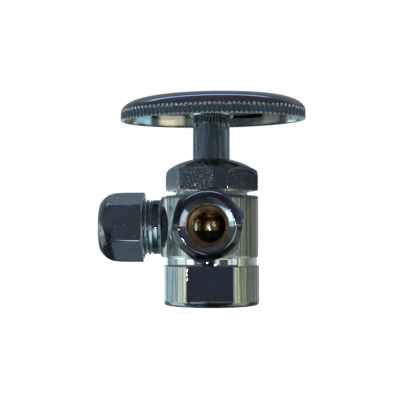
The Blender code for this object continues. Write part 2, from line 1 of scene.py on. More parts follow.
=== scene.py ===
"""Dual-outlet angle stop valve: a round bar with compression outlets to the left and the front,
and a packing nut, stem and oval handle on top.

The bar stands upright along Z. The outlets point along -X (left) and -Y (front, where the camera
is). Sizes are in millimetres, turned to metres by MM. Each piece is drawn about its own Z axis,
which for the outlets points outwards.
"""

import math

import bmesh
import bpy
import numpy as np
from mathutils import Matrix, Vector


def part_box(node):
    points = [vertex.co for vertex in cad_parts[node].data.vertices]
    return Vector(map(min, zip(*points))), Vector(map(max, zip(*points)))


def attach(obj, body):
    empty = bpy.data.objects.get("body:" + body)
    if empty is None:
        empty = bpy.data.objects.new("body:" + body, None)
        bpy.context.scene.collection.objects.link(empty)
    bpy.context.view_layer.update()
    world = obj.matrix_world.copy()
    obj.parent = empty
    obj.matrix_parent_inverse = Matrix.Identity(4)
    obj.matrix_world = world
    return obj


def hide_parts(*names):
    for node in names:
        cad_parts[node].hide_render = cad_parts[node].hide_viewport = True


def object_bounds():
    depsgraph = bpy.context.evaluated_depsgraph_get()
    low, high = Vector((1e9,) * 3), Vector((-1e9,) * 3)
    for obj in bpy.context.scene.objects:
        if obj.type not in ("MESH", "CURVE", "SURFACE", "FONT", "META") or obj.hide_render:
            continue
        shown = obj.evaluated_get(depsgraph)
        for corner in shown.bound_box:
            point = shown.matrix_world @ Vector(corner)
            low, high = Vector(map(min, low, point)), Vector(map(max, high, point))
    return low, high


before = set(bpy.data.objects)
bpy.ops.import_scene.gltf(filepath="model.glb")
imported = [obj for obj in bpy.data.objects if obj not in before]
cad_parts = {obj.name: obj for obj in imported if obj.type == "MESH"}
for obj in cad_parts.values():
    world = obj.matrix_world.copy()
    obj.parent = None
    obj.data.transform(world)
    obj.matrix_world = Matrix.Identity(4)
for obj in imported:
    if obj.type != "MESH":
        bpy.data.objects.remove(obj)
cad_low, cad_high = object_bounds()

MM = 0.001
TAU = 2.0 * math.pi


def middle(node):
    low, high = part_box(node)
    return (low + high) / 2


packing_mid, sleeve_mid = middle("stem_packing"), middle("left_ferrule")
# CENTRE is where the bar's axis crosses the height of the outlets
CENTRE = Matrix.Translation((packing_mid.x, packing_mid.y, sleeve_mid.z))
LEFT = CENTRE @ Matrix.Rotation(math.radians(-90), 4, "Y")
FRONT = CENTRE @ Matrix.Rotation(math.radians(90), 4, "X")
HANDLE = CENTRE @ Matrix.Translation((0.2 * MM, 0, 0))
HANDLE_TURN = math.radians(-5.6)


# ------------------------------------------------------------------ shader helpers
class Graph:
    """Short calls that make and link the nodes of one shader tree."""

    def __init__(self, tree):
        self.tree = tree

    def node(self, kind, **values):
        made = self.tree.nodes.new(kind)
        for key, value in values.items():
            setattr(made, key, value)
        return made

    def link(self, value, socket):
        """Links a socket, or sets a plain value."""
        if isinstance(value, bpy.types.NodeSocket):
            self.tree.links.new(value, socket)
        elif isinstance(value, (tuple, list)) and len(value) == 3 and socket.type == "RGBA":
            socket.default_value = (*value, 1.0)
        else:
            socket.default_value = value

    def math(self, operation, a, b=0.0, c=0.0, clamp=False):
        made = self.node("ShaderNodeMath", operation=operation, use_clamp=clamp)
        for value, socket in zip((a, b, c), made.inputs):
            self.link(value, socket)
        return made.outputs[0]

    def times(self, a, b):
        return self.math("MULTIPLY", a, b)

    def plus(self, a, b):
        return self.math("ADD", a, b)

    def most(self, a, b):
        return self.math("MAXIMUM", a, b)

    def affine(self, value, factor, offset):
        return self.math("MULTIPLY_ADD", value, factor, offset)

    def smooth(self, value, start, end, low=0.0, high=1.0):
        """Goes smoothly from low to high as the value goes from start to end."""
        made = self.node("ShaderNodeMapRange", interpolation_type="SMOOTHSTEP", clamp=True)
        self.link(value, made.inputs["Value"])
        made.inputs["From Min"].default_value = start
        made.inputs["From Max"].default_value = end
        made.inputs["To Min"].default_value = low
        made.inputs["To Max"].default_value = high
        return made.outputs["Result"]

    def window(self, value, start, end, soft):
        """1 between start and end, 0 outside, with edges 2 * soft wide."""
        rise = self.smooth(value, start - soft, start + soft)
        return self.times(rise, self.smooth(value, end - soft, end + soft, 1.0, 0.0))

    def fade(self, value, start, end, low=0.0, high=1.0):
        """smooth() with start and end in mm."""
        return self.smooth(value, start * MM, end * MM, low, high)

    def fade_out(self, value, start, end):
        return self.fade(value, start, end, 1.0, 0.0)

    def zone(self, value, start, end, soft):
        """window() in mm."""
        return self.window(value, start * MM, end * MM, soft * MM)

    def mix(self, factor, a, b, blend="MIX"):
        made = self.node("ShaderNodeMix", data_type="RGBA", blend_type=blend)
        # inputs 6 and 7 and output 2 are the colour sockets
        for value, index in ((factor, 0), (a, 6), (b, 7)):
            self.link(value, made.inputs[index])
        return made.outputs[2]

    def noise(self, vector, scale, detail=2.0, rough=0.5, output="Fac"):
        made = self.node("ShaderNodeTexNoise")
        if vector is not None:
            self.link(vector, made.inputs["Vector"])
        made.inputs["Scale"].default_value = scale
        made.inputs["Detail"].default_value = detail
        made.inputs["Roughness"].default_value = rough
        return made.outputs[output]

    def cells(self, vector, cell):
        """Voronoi cells of a size in mm: distance from each middle, three random values."""
        voronoi = self.node("ShaderNodeTexVoronoi")
        self.link(vector, voronoi.inputs["Vector"])
        voronoi.inputs["Scale"].default_value = 1.0 / (cell * MM)
        randoms = self.node("ShaderNodeSeparateColor")
        self.link(voronoi.outputs["Color"], randoms.inputs[0])
        return voronoi.outputs["Distance"], randoms.outputs

    def xyz(self, vector):
        made = self.node("ShaderNodeSeparateXYZ")
        self.link(vector, made.inputs[0])
        return made.outputs

    def join(self, x, y, z):
        made = self.node("ShaderNodeCombineXYZ")
        for value, socket in zip((x, y, z), made.inputs):
            self.link(value, socket)
        return made.outputs[0]

    def place(self):
        return self.node("ShaderNodeTexCoord").outputs["Object"]


def new_material(name):
    mat = bpy.data.materials.new(name)
    mat.use_nodes = True
    return mat, Graph(mat.node_tree), mat.node_tree.nodes["Principled BSDF"]


def finish(g, bsdf, height, colour, metallic, roughness):
    """Links the surface: height is in metres."""
    bump = g.node("ShaderNodeBump")
    bump.inputs["Strength"].default_value = 1.0
    bump.inputs["Distance"].default_value = 1.0
    g.link(height, bump.inputs["Height"])
    g.link(bump.outputs[0], bsdf.inputs["Normal"])
    g.link(colour, bsdf.inputs["Base Color"])
    bsdf.inputs["Metallic"].default_value = metallic
    g.link(roughness, bsdf.inputs["Roughness"])


# ------------------------------------------------------------------ kinds of surface
BLACK = (0.0, 0.0, 0.0)
GRAIN_DARK = (0.16, 0.18, 0.16)
HAZE_GREY = (0.42, 0.43, 0.45)
# white of the painted glints
GLINT_WHITE = (0.95, 0.98, 1.0)


def pits(g, vector, cell, share, radius, depth):
    """Sparse round dimples: height in metres."""
    distance, randoms = g.cells(vector, cell)
    dip = g.smooth(distance, 0.0, radius / cell, -1.0, 0.0)
    chosen = g.math("LESS_THAN", randoms[0], share)
    size = g.affine(randoms[1], 0.8, 0.4)
    return g.times(g.times(dip, chosen), g.times(size, depth * MM))


def glint_speck_mask(g, here, cell, share, radius, glint_share):
    """Ragged white specks painted in as glints: spots in a warped space, each of its own strength.
    """
    warp = g.noise(here, 1.1 / (cell * MM), output="Color")
    shifted = g.node("ShaderNodeVectorMath", operation="MULTIPLY_ADD")
    g.link(warp, shifted.inputs[0])
    shifted.inputs[1].default_value = (0.9 * cell * MM,) * 3
    g.link(here, shifted.inputs[2])
    distance, randoms = g.cells(shifted.outputs[0], cell)
    spot = g.smooth(distance, radius / cell * 0.6, radius / cell, 1.0, 0.0)
    mask = g.times(spot, g.math("LESS_THAN", randoms[0], share))
    mask = g.times(mask, g.affine(randoms[2], 0.7, 0.3))
    return g.times(mask, glint_share(g, *g.xyz(here))) if glint_share else mask


def chrome(name, tints, rough, pit=None, fine_pit=None, peel=(1.5, 0.0004), grain=None,
           aniso=0.0, rings=None, glint_specks=None, painted_shade=None):
    """Plated brass. Sizes are in mm.

    tints: two colours, mixed in patches    pit, fine_pit: (cell, share of cells, radius, depth)
    peel: (size, depth) of soft waviness    grain: (scale, depth, stretch) of lines drawn along Z
    rings: (width, depth) of turning marks  glint specks: (cell, share of cells, radius, share
    function), white specks painted in as glints
    painted shade: function giving the share of the colour darkened towards black at a place
    """
    mat, g, bsdf = new_material(name)
    here = g.place()
    x, y, z = g.xyz(here)
    height = g.times(g.noise(here, 1.0 / (peel[0] * MM), detail=3.0), peel[1] * MM)
    for dimples in (pit, fine_pit):
        if dimples:
            height = g.plus(height, pits(g, here, *dimples))
    colour = g.mix(g.smooth(g.noise(here, 260.0, detail=3.0, rough=0.55), 0.35, 0.65), *tints)
    if grain:
        scale, depth, stretch = grain
        turn = g.math("ARCTAN2", y, x)
        around = g.join(g.math("COSINE", turn), g.math("SINE", turn), g.times(z, stretch))
        streak = g.noise(around, scale, detail=4.0, rough=0.65)
        fine = g.noise(around, scale * 4.3, detail=3.0, rough=0.7)
        height = g.plus(height, g.times(streak, depth * MM))
        height = g.plus(height, g.times(fine, depth * 0.22 * MM))
        colour = g.mix(g.smooth(streak, 0.40, 0.53, 0.85, 0.0), colour, GRAIN_DARK)
    if rings:
        line = g.noise(g.join(0.0, 0.0, z), 1.0 / (rings[0] * MM), detail=2.0, rough=0.6)
        height = g.plus(height, g.times(line, rings[1] * MM))
    haze = g.noise(here, 900.0)
    colour = g.mix(g.smooth(haze, 0.55, 0.75, high=0.25), colour, HAZE_GREY)
    # painted shade: the colour is darkened towards black where the function says, standing in for
    # dark reflections
    if painted_shade:
        colour = g.mix(painted_shade(g, x, y, z), colour, BLACK)
    roughness = g.affine(g.noise(here, 1400.0, detail=3.0), rough * 0.9, rough * 0.55)
    # painted glints: white specks, rougher and barely metallic, stand in for pits catching light
    if glint_specks:
        mask = glint_speck_mask(g, here, *glint_specks)
        colour = g.mix(mask, colour, GLINT_WHITE)
        roughness = g.math("ADD", roughness, g.times(mask, 0.75), clamp=True)
    finish(g, bsdf, height, colour, 1.0, roughness)
    if glint_specks:
        g.link(g.affine(mask, -0.9, 1.0), bsdf.inputs["Metallic"])
    if aniso:
        bsdf.inputs["Anisotropic"].default_value = aniso
        tangent = g.node("ShaderNodeTangent", direction_type="RADIAL", axis="Z")
        g.link(tangent.outputs[0], bsdf.inputs["Tangent"])
    return mat


def brass(name, light, dark, rough, rings=(0.12, 0.004)):
    """Bare stained brass with turning marks: rings = (width, depth) in mm."""
    mat, g, bsdf = new_material(name)
    here = g.place()
    x, y, z = g.xyz(here)
    squeezed = g.join(g.times(x, 0.02), g.times(y, 0.02), z)
    line = g.noise(squeezed, 1.0 / (rings[0] * MM), detail=3.0, rough=0.6)
    stain = g.noise(here, 420.0, detail=4.0, rough=0.6)
    height = g.plus(g.times(line, rings[1] * MM), g.times(stain, 0.002 * MM))
    colour = g.mix(g.smooth(stain, 0.35, 0.7), light, dark)
    finish(g, bsdf, height, colour, 1.0, g.affine(stain, rough * 0.8, rough * 0.6))
    return mat


def dull(name, light, dark, rough, scale, depth, metallic=0.0):
    """A fine-grained dull surface: scale and depth (mm) are those of its grain."""
    mat, g, bsdf = new_material(name)
    here = g.place()
    speck = g.noise(here, scale, detail=5.0, rough=0.6)
    cloud = g.noise(here, scale * 0.13)
    colour = g.mix(g.affine(cloud, 0.5, g.times(speck, 0.5)), light, dark)
    roughness = g.affine(speck, 0.2, rough - 0.1)
    finish(g, bsdf, g.times(speck, depth * MM), colour, metallic, roughness)
    return mat


# ------------------------------------------------------------------ painted glints and painted shade
# Each gives a share from 0 to 1 at a place in the piece's own axes. Bounds are in mm.
def glints_front(g, x, y, z):
    """Share of painted glints: strongest on the packing nut's front, left of the middle, with a
    little all round.
    """
    side = g.times(g.zone(x, -8.4, 0.9, soft=0.5), g.fade_out(y, -6.0, -5.0))
    return g.affine(side, 0.85, 0.15)


def stem_glints(g, x, y, z):
    """Share of painted glints, growing towards the stem's top."""
    return g.fade(z, 20.0, 26.5, low=0.35)


def nose_painted_shade(g, x, y, z):
    """Painted shade on the front nut's nose: its front face, upper half, left and lower rim, and a
    band.
    """
    r = g.math("SQRT", g.plus(g.times(x, x), g.times(y, y)))
    face = g.times(g.fade_out(r, 7.5, 8.1), g.fade(r, 5.9, 6.25))
    face = g.times(face, g.fade(z, 25.6, 26.4))
    face = g.times(face, g.fade(x, 3.0, 6.5, low=1.0, high=0.55))
    upper = g.times(g.fade(y, 3.5, 6.5), g.fade(z, 23.5, 25.5))
    left = g.fade_out(x, -6.2, -4.6)
    below = g.times(g.fade_out(y, -6.6, -5.0), g.fade_out(x, 2.0, 5.0))
    rim = g.times(g.fade(r, 6.15, 6.45), g.fade(z, 24.0, 25.0))
    edge = g.times(g.most(left, below), rim)
    band = g.times(g.fade(r, 6.5, 6.8), g.fade_out(r, 7.75, 7.95))
    band = g.times(g.times(band, g.fade_out(y, -0.4, 0.4)), g.fade(z, 24.0, 25.0))
    painted_shade = g.times(g.most(face, g.times(upper, 0.85)), 0.62)
    painted_shade = g.most(painted_shade, g.times(edge, 0.82))
    return g.most(painted_shade, g.times(band, 0.90))


def crown_painted_shade(g, x, y, z):
    """Painted shade on the packing nut's crown, and more weakly on its right side."""
    crown = g.fade(z, 14.6, 15.6, high=0.66)
    side = g.plus(g.fade(x, 0.2, 1.2, high=0.34), g.fade(x, 7.5, 9.5, high=0.14))
    return g.most(crown, side)


def left_nut_painted_shade(g, x, y, z):
    """Painted shade on the lower half of the left nut's nose, where the local X points up."""
    return g.times(g.times(g.fade_out(x, -3.0, 0.5), g.fade(z, 24.2, 25.2)), 0.84)


def body_painted_shade(g, x, y, z):
    """Painted shade on the bar's right side above the groove, its lower left, and its far right
    edge.
    """
    right = g.times(g.fade(z, -8.8, -7.9), g.fade(x, 4.5, 6.0))
    left = g.times(g.zone(z, -7.9, -2.0, soft=1.2), g.fade(x, -6.5, -8.5))
    edge = g.fade(x, 8.6, 9.6, high=0.16)
    return g.plus(edge, g.plus(g.times(right, 0.24), g.times(left, 0.72)))


def bottom_painted_shade(g, x, y, z):
    """Painted shade along the bar's bottom edge."""
    return g.fade(z, -18.3, -18.9, high=0.6)


def collar_painted_shade(g, x, y, z):
    """Painted shade on the spud's collar, and on its thread away from the middle in X."""
    collar = g.times(g.fade_out(z, 13.2, 13.7), 0.30)
    off = g.fade(g.math("ABSOLUTE", x), 2.4, 4.4, high=0.5)
    return g.most(collar, g.times(off, g.fade(z, 13.2, 13.7)))


def groove_painted_shade(g, x, y, z):
    """Painted shade in the bar's groove, at its left end and near the middle."""
    left = g.times(g.fade_out(x, -9.2, -8.2), g.fade_out(z, -7.0, -6.5))
    central = g.times(g.zone(x, -1.8, 0.9, soft=0.3), g.fade_out(z, -7.0, -6.5))
    return g.most(g.times(left, 0.45), g.times(central, 0.8))


# ------------------------------------------------------------------ materials
NUT_CHROME = chrome(
    "nut_chrome", tints=((0.43, 0.45, 0.51), (0.50, 0.51, 0.57)), rough=0.07,
    pit=(0.62, 0.30, 0.16, 0.012), fine_pit=(0.27, 0.25, 0.08, 0.004),
    glint_specks=(0.62, 0.62, 0.12, None), painted_shade=left_nut_painted_shade)
FRONT_NUT_CHROME = chrome(
    "front_nut_chrome", tints=((0.50, 0.53, 0.60), (0.58, 0.59, 0.66)), rough=0.07,
    pit=(0.62, 0.30, 0.16, 0.012), glint_specks=(0.9, 0.20, 0.09, None), painted_shade=nose_painted_shade)
BONNET_CHROME = chrome(
    "bonnet_chrome", tints=((0.50, 0.54, 0.58), (0.58, 0.60, 0.62)), rough=0.08,
    pit=(0.45, 0.45, 0.15, 0.020), fine_pit=(0.25, 0.30, 0.08, 0.006),
    glint_specks=(0.36, 0.75, 0.13, glints_front), painted_shade=crown_painted_shade)
STEM_CHROME = chrome(
    "stem_chrome", tints=((0.44, 0.54, 0.60), (0.54, 0.58, 0.60)), rough=0.12,
    pit=(0.55, 0.30, 0.13, 0.014), fine_pit=(0.25, 0.30, 0.08, 0.006),
    grain=(9.0, 0.010, 12.0), glint_specks=(0.55, 0.30, 0.10, stem_glints))
HANDLE_CHROME = chrome(
    "handle_chrome", tints=((0.50, 0.55, 0.61), (0.58, 0.60, 0.63)), rough=0.07,
    fine_pit=(0.5, 0.22, 0.12, 0.006), glint_specks=(1.3, 0.15, 0.08, None))
BODY_CHROME = chrome(
    "drawn_bar_chrome", tints=((0.60, 0.66, 0.64), (0.70, 0.70, 0.62)), rough=0.11,
    fine_pit=(0.7, 0.10, 0.08, -0.004), grain=(26.0, 0.045, 1.2), aniso=0.8,
    glint_specks=(1.6, 0.22, 0.10, None), painted_shade=body_painted_shade)
FLAT_CHROME = chrome(
    "wrench_flat_chrome", tints=((0.54, 0.58, 0.64), (0.60, 0.62, 0.66)), rough=0.10,
    fine_pit=(0.5, 0.2, 0.1, -0.004), peel=(3.0, 0.0012),
    glint_specks=(1.2, 0.10, 0.08, None), painted_shade=bottom_painted_shade)
TURNED_CHROME = chrome(
    "turned_chrome", tints=((0.84, 0.88, 0.90), (0.90, 0.90, 0.84)), rough=0.06,
    fine_pit=(0.5, 0.12, 0.1, 0.008), peel=(2.0, 0.0006), painted_shade=groove_painted_shade)
SPUD_CHROME = chrome(
    "spud_chrome", tints=((0.33, 0.41, 0.46), (0.40, 0.46, 0.50)), rough=0.09,
    fine_pit=(0.35, 0.25, 0.09, 0.006), rings=(0.25, 0.004),
    glint_specks=(0.45, 0.30, 0.10, None), painted_shade=collar_painted_shade)
SCREW_STEEL = chrome(
    "screw_steel", tints=((0.55, 0.56, 0.57), (0.64, 0.64, 0.63)), rough=0.18,
    fine_pit=(0.3, 0.3, 0.08, 0.008), rings=(0.15, 0.004))
RAW_BRASS = brass("raw_brass", light=(0.60, 0.44, 0.24), dark=(0.36, 0.26, 0.14), rough=0.30)
DARK_BRASS = brass("bore_brass", light=(0.25, 0.195, 0.12), dark=(0.12, 0.095, 0.06), rough=0.30)
HOLDER_BRASS = brass(
    "holder_brass", light=(0.96, 0.88, 0.62), dark=(0.90, 0.76, 0.46), rough=0.10,
    rings=(0.2, 0.001))
BRAZE = dull(
    "silver_braze", light=(0.70, 0.68, 0.62), dark=(0.48, 0.45, 0.38), rough=0.40,
    scale=2600.0, depth=0.02, metallic=1.0)
RUBBER = dull(
    "black_rubber", light=(0.035, 0.035, 0.038), dark=(0.015, 0.015, 0.017), rough=0.70,
    scale=3800.0, depth=0.012)
NYLON = dull(
    "white_nylon", light=(0.84, 0.82, 0.75), dark=(0.74, 0.71, 0.62), rough=0.42,
    scale=2200.0, depth=0.006)
GRAPHITE = dull(
    "packing_graphite", light=(0.075, 0.075, 0.08), dark=(0.03, 0.03, 0.033), rough=0.50,
    scale=5200.0, depth=0.02)


# ------------------------------------------------------------------ mesh helpers
# A station is (radius, z, material slot); radius and z are numbers or one value per angle.
# A row is (points, material slot); the slot is that of the faces from this row to the next.
def circle(count):
    return np.arange(count) * TAU / count


def on(slot, points):
    """Stations on one material slot, from (radius, z) points."""
    return [(r, z, slot) for r, z in points]


def lathe(angles, stations):
    """Rows of points from stations. A radius of 0 gives a single pole point."""
    rows = []
    for r, z, slot in stations:
        if np.all(r == 0):
            points = np.array([[0.0, 0.0, z]])
        else:
            height = np.broadcast_to(z, angles.shape)
            points = np.stack([r * np.cos(angles), r * np.sin(angles), height], 1)
        rows.append((points, slot))
    return rows


def build(name, rows, materials, place, closed=True, sharp=38.0):
    """Joins rows with faces. closed joins the last row to the first."""
    starts = []
    total = 0
    for row, _ in rows:
        starts.append((total, len(row)))
        total += len(row)
    points = np.vstack([row for row, _ in rows]) * MM
    faces, slots = [], []
    count = len(rows)
    for i in range(count if closed else count - 1):
        (start, size), (after, after_size) = starts[i], starts[(i + 1) % count]
        most = max(size, after_size)
        k = np.arange(most)
        k2 = (k + 1) % most
        if size == 1:
            made = np.stack([np.full(most, start), after + k2, after + k], 1)
        elif after_size == 1:
            made = np.stack([start + k, start + k2, np.full(most, after)], 1)
        else:
            made = np.stack([start + k, start + k2, after + k2, after + k], 1)
        faces += made.tolist()
        slots += [rows[i][1]] * most
    # the signed volume tells whether the faces point outwards
    halves = [f[:3] for f in faces] + [[f[0], f[2], f[3]] for f in faces if len(f) == 4]
    if np.linalg.det(points[np.array(halves)]).sum() < 0:
        faces = [f[::-1] for f in faces]
    mesh = bpy.data.meshes.new(name)
    mesh.from_pydata(points.tolist(), [], faces)
    for material in materials:
        mesh.materials.append(material)
    mesh.polygons.foreach_set("material_index", slots)
    mesh.validate(clean_customdata=False)
    mesh.shade_smooth()
    mesh.set_sharp_from_angle(angle=math.radians(sharp))
    obj = bpy.data.objects.new(name, mesh)
    bpy.context.scene.collection.objects.link(obj)
    obj.matrix_world = place
    return obj


def assign(obj, part_set, cad_piece, look):
    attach(obj, part_set)
    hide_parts(cad_piece)


def fillet(stations, radius, steps=3, closed=True):
    """Rounds each corner. The end points of an open outline only guide, and are left out."""
    out = []
    count = len(stations)
    for i in range(count) if closed else range(1, count - 1):
        r, z, slot = stations[i]
        before, after = stations[i - 1], stations[(i + 1) % count]
        corner = np.array((r, z))
        back, ahead = np.array(before[:2]) - corner, np.array(after[:2]) - corner
        back_length, ahead_length = np.linalg.norm(back), np.linalg.norm(ahead)
        back, ahead = back / back_length, ahead / ahead_length
        half = 0.5 * math.acos(max(-1.0, min(1.0, float(back @ ahead))))
        if half > math.radians(84):
            out.append((r, z, slot))
            continue
        trim = min(radius / math.tan(half), 0.42 * back_length, 0.42 * ahead_length)
        start, end = corner + back * trim, corner + ahead * trim
        for k in range(steps + 1):
            t = k / steps
            point = (1 - t) ** 2 * start + 2 * t * (1 - t) * corner + t * t * end
            out.append((point[0], point[1], slot if t > 0.5 else before[2]))
    return out


def turned(name, outline, material, place, part, steps=128, radius=0.12):
    """A turned ring from a closed (r, z) outline. part = (set, CAD piece, look); the look is not
    used.
    """
    rows = lathe(circle(steps), fillet(on(0, outline), radius))
    assign(build(name, rows, [material], place), *part)


def soft_min(a, b, blend):
    h = np.clip(0.5 + 0.5 * (b - a) / blend, 0, 1)
    return b * (1 - h) + a * h - blend * h * (1 - h)


def tooth(u, crest=0.12, root=0.12):
    """One thread rib across its pitch, 0 to 1 to 0, with flats at crest and root."""
    u = np.mod(u, 1.0)
    v = np.clip((0.5 - np.abs(u - 0.5) - root / 2) / (0.5 - root / 2 - crest / 2), 0, 1)
    return v * v * (3 - 2 * v) * 0.35 + v * 0.65


def thread(angles, z, pitch, root, crest, low, high, lead):
    """Radius of a right-hand male thread at height z, fading out over lead at both ends."""
    rib = tooth(z / pitch - angles / TAU)
    fade = np.clip((z - low) / lead, 0, 1) * np.clip((high - z) / lead, 0, 1)
    return root + (crest - root) * rib * fade


def steps_between(a, b, step):
    n = max(1, int(math.ceil(abs(b - a) / step)))
    return [a + (b - a) * k / n for k in range(n + 1)]


def smooth_curve(points):
    """A monotone cubic through (r, z) points in order of z, as a function from z to r."""
    z = np.array([p[1] for p in points], float)
    r = np.array([p[0] for p in points], float)
    slope = np.diff(r) / np.diff(z)
    m = np.zeros(len(r))
    for i in range(1, len(r) - 1):
        a, b = slope[i - 1], slope[i]
        m[i] = 0 if a * b <= 0 else 2 * a * b / (a + b)
    m[0], m[-1] = slope[0], slope[-1]

    def at(q):
        q = np.clip(q, z[0], z[-1])
        i = np.clip(np.searchsorted(z, q, side="right") - 1, 0, len(z) - 2)
        h = z[i + 1] - z[i]
        t = (q - z[i]) / h
        return (
            (2 * t**3 - 3 * t**2 + 1) * r[i]
            + (t**3 - 2 * t**2 + t) * h * m[i]
            + (-2 * t**3 + 3 * t**2) * r[i + 1]
            + (t**3 - t**2) * h * m[i + 1]
        )

    return at


def line_noise(angles, seed, waves):
    """Repeatable noise round a ring: random-phase waves about each (count, amplitude)."""
    rng = np.random.default_rng(seed)
    out = np.zeros_like(angles)
    for count, amplitude in waves:
        for _ in range(14):
            k = int(count * rng.uniform(0.6, 1.5))
            strength = amplitude * rng.uniform(0.4, 1.0)
            out += strength * np.cos(k * angles + rng.uniform(0, TAU)) / 3.7
    return out


def cut(obj, cutters, sharp):
    """Cuts the cutters from a piece and removes them."""
    for cutter in cutters:
        mod = obj.modifiers.new("cut", "BOOLEAN")
        mod.operation, mod.solver, mod.object = "DIFFERENCE", "MANIFOLD", cutter
    bpy.context.view_layer.update()
    graph = bpy.context.evaluated_depsgraph_get()
    mesh = bpy.data.meshes.new_from_object(obj.evaluated_get(graph))
    obj.modifiers.clear()
    obj.data = mesh
    for cutter in cutters:
        bpy.data.objects.remove(cutter, do_unlink=True)
    obj.data.set_sharp_from_angle(angle=math.radians(sharp))


# ------------------------------------------------------------------ valve body
LOW_R, GROOVE_R, MID_R = 12.3, 11.75, 12.05
BOTTOM, GROOVE_TOP, SHOULDER = -19.9, -7.72, 7.9
LAND = -90.0 + 40.5  # degrees: middle of the strip that bridges the groove
EDGE_STEPS = (-0.5, -0.3, -0.15, 0, 0.15, 0.3, 0.5)  # extra columns beside an edge, degrees
SCRATCHES = [(30, 0.022), (95, 0.016), (230, 0.0062)]  # (lines round the bar, depth)
NECK_ROOT, NECK_CREST = 8.72, 9.28  # male thread for the packing nut
PORT_R = 3.97
BAR, TURNED, BORE, FLAT = range(4)
BODY_LOOKS = [BODY_CHROME, TURNED_CHROME, DARK_BRASS, FLAT_CHROME]


def cut_depth(z):
    """Distance of the wrench flat from the axis: level, then a curved run-out at the bottom."""
    t = np.clip((-18.25 - z) / 1.6, 0, 1)
    return 10.85 + 1.5 * (1 - np.sqrt(np.maximum(0.0, 1 - t**2.0))) * 0.55 + 0.65 * t**1.2


def body_rows():
    marks = []
    for centre, half, steps in (
        (-90.0, 28.1, EDGE_STEPS), (90.0, 28.1, EDGE_STEPS), (LAND, 5.6, EDGE_STEPS[1:-1]),
    ):
        for edge in (-half, half):
            marks += [math.radians(centre + edge + step) for step in steps]
    angles = np.unique(np.round(np.concatenate([circle(900), np.mod(marks, TAU)]), 6))
    scratch = line_noise(angles, 7, SCRATCHES)
    scratch_low = line_noise(angles, 11, SCRATCHES)

    def away(degrees):
        return np.abs(np.mod(angles - math.radians(degrees) + math.pi, TAU) - math.pi)

    off_flat = np.minimum(away(-90), away(90))
    on_land = np.clip((math.radians(5.7) - away(LAND)) / math.radians(0.22), 0, 1)
    reach = 1.0 / np.maximum(np.cos(off_flat), 0.2)
    flat_share = np.where(off_flat < math.radians(70), reach, 99.0)
    stations = []

    def skin(points, drawn=False, land=False):
        for r, z, slot in points:
            radius = np.full(angles.shape, float(r))
            if land:
                radius = radius + (MID_R + scratch - radius) * on_land
            if drawn:
                radius = radius + (scratch_low if z < -9 else scratch)
            if z < -9.81:
                radius = soft_min(radius, cut_depth(z) * flat_share, 0.10)
            stations.append((radius, z, slot))

    # rounded bottom edge: radius, rise from the bottom
    edge = [
        (11.55, 0.0), (11.75, 0.02), (11.92, 0.10), (12.06, 0.24), (12.16, 0.42), (12.23, 0.64),
        (12.28, 0.92),
    ]
    skin([(r, BOTTOM + rise, FLAT) for r, rise in edge])
    # lower bar
    heights = steps_between(BOTTOM + 1.15, -17.9, 0.07) + steps_between(-17.5, -10.1, 1.0)
    skin([(LOW_R, z, BAR) for z in heights + [-9.98]], drawn=True)
    skin(on(TURNED, [(LOW_R - 0.02, -9.90), (LOW_R - 0.07, -9.845), (LOW_R - 0.15, -9.82)]),
         drawn=True)
    # groove: rise over the groove's radius, z
    groove = [
        (0.08, -9.80), (0.02, -9.76), (0, -9.68), (0, -9.2), (0, -8.4), (0, -7.92),
        (0.02, -7.82), (0.10, -7.75),
    ]
    skin([(GROOVE_R + rise, z, TURNED) for rise, z in groove], land=True)
    # middle bar
    skin(on(TURNED, [(MID_R - 0.10, GROOVE_TOP), (MID_R - 0.03, -7.66)]), drawn=True)
    heights = [-7.56] + steps_between(-7.0, 7.0, 1.0) + [7.62]
    skin([(MID_R, z, BAR) for z in heights], drawn=True)
    skin(on(TURNED, [(MID_R - 0.03, 7.76), (MID_R - 0.10, 7.86)]), drawn=True)
    # shoulder, neck, and its male thread
    skin(on(TURNED, [
        (MID_R - 0.22, SHOULDER), (11.0, SHOULDER), (9.75, SHOULDER), (9.42, 7.93), (9.33, 7.99),
        (9.3, 8.1), (9.3, 8.6), (9.3, 9.0), (9.28, 9.25),
    ]))
    for z in steps_between(9.4, 14.0, 0.085):
        radius = thread(angles, z, 1.27, NECK_ROOT, NECK_CREST, 9.3, 14.1, lead=0.35)
        radius = np.minimum(radius, 9.3 - max(0.0, z - 13.6) * 0.8)
        run_in = max(0.0, 1 - (z - 9.4) / 0.5)
        radius = np.maximum(radius, NECK_ROOT + (NECK_CREST - NECK_ROOT) * run_in)
        stations.append((radius, z, TURNED))
    # neck's rim, packing chamber, seat, and the top of the inlet
    inner = on(TURNED, [(8.9, 14.0), (8.75, 14.2), (8.5, 14.4)]) + on(BORE, [
        (7.62, 14.4), (7.5, 14.28), (7.5, 10.2), (6.55, 10.2), (6.55, 3.2), (6.7, 3.0),
        (6.7, -6.0), (5.25, -6.0), (5.0, -5.2), (4.15, -5.2), (4.0, -5.35), (4.0, -7.7),
        (5.0, -8.2), (9.7, -8.5), (9.75, -9.4),
    ])
    stations += fillet(inner, 0.08, steps=2, closed=False)
    # female inlet thread, widening down to the mouth
    for z in steps_between(-9.0, -19.3, 0.12):
        taper = 0.35 * (z + 9.0) / -10.3
        rib = tooth(z / 1.814 - angles / TAU)
        fade = np.clip((-9.4 - z) / 0.8, 0, 1)
        stations.append((9.72 + taper + 0.55 * (1 - rib) * fade, z, BORE))
    stations += on(BORE, [(10.45, -19.42), (10.72, -19.74)])
    stations += on(TURNED, [(10.86, -19.88), (10.95, BOTTOM)])
    return lathe(angles, stations)


def port_cutter(name, place):
    outline = [(0, 2.0), (PORT_R, 2.0), (PORT_R, 7.2), (5.6, 7.2), (5.6, 15.0), (0, 15.0)]
    return build(name, lathe(circle(72), on(BORE, outline)), BODY_LOOKS, place, closed=False)


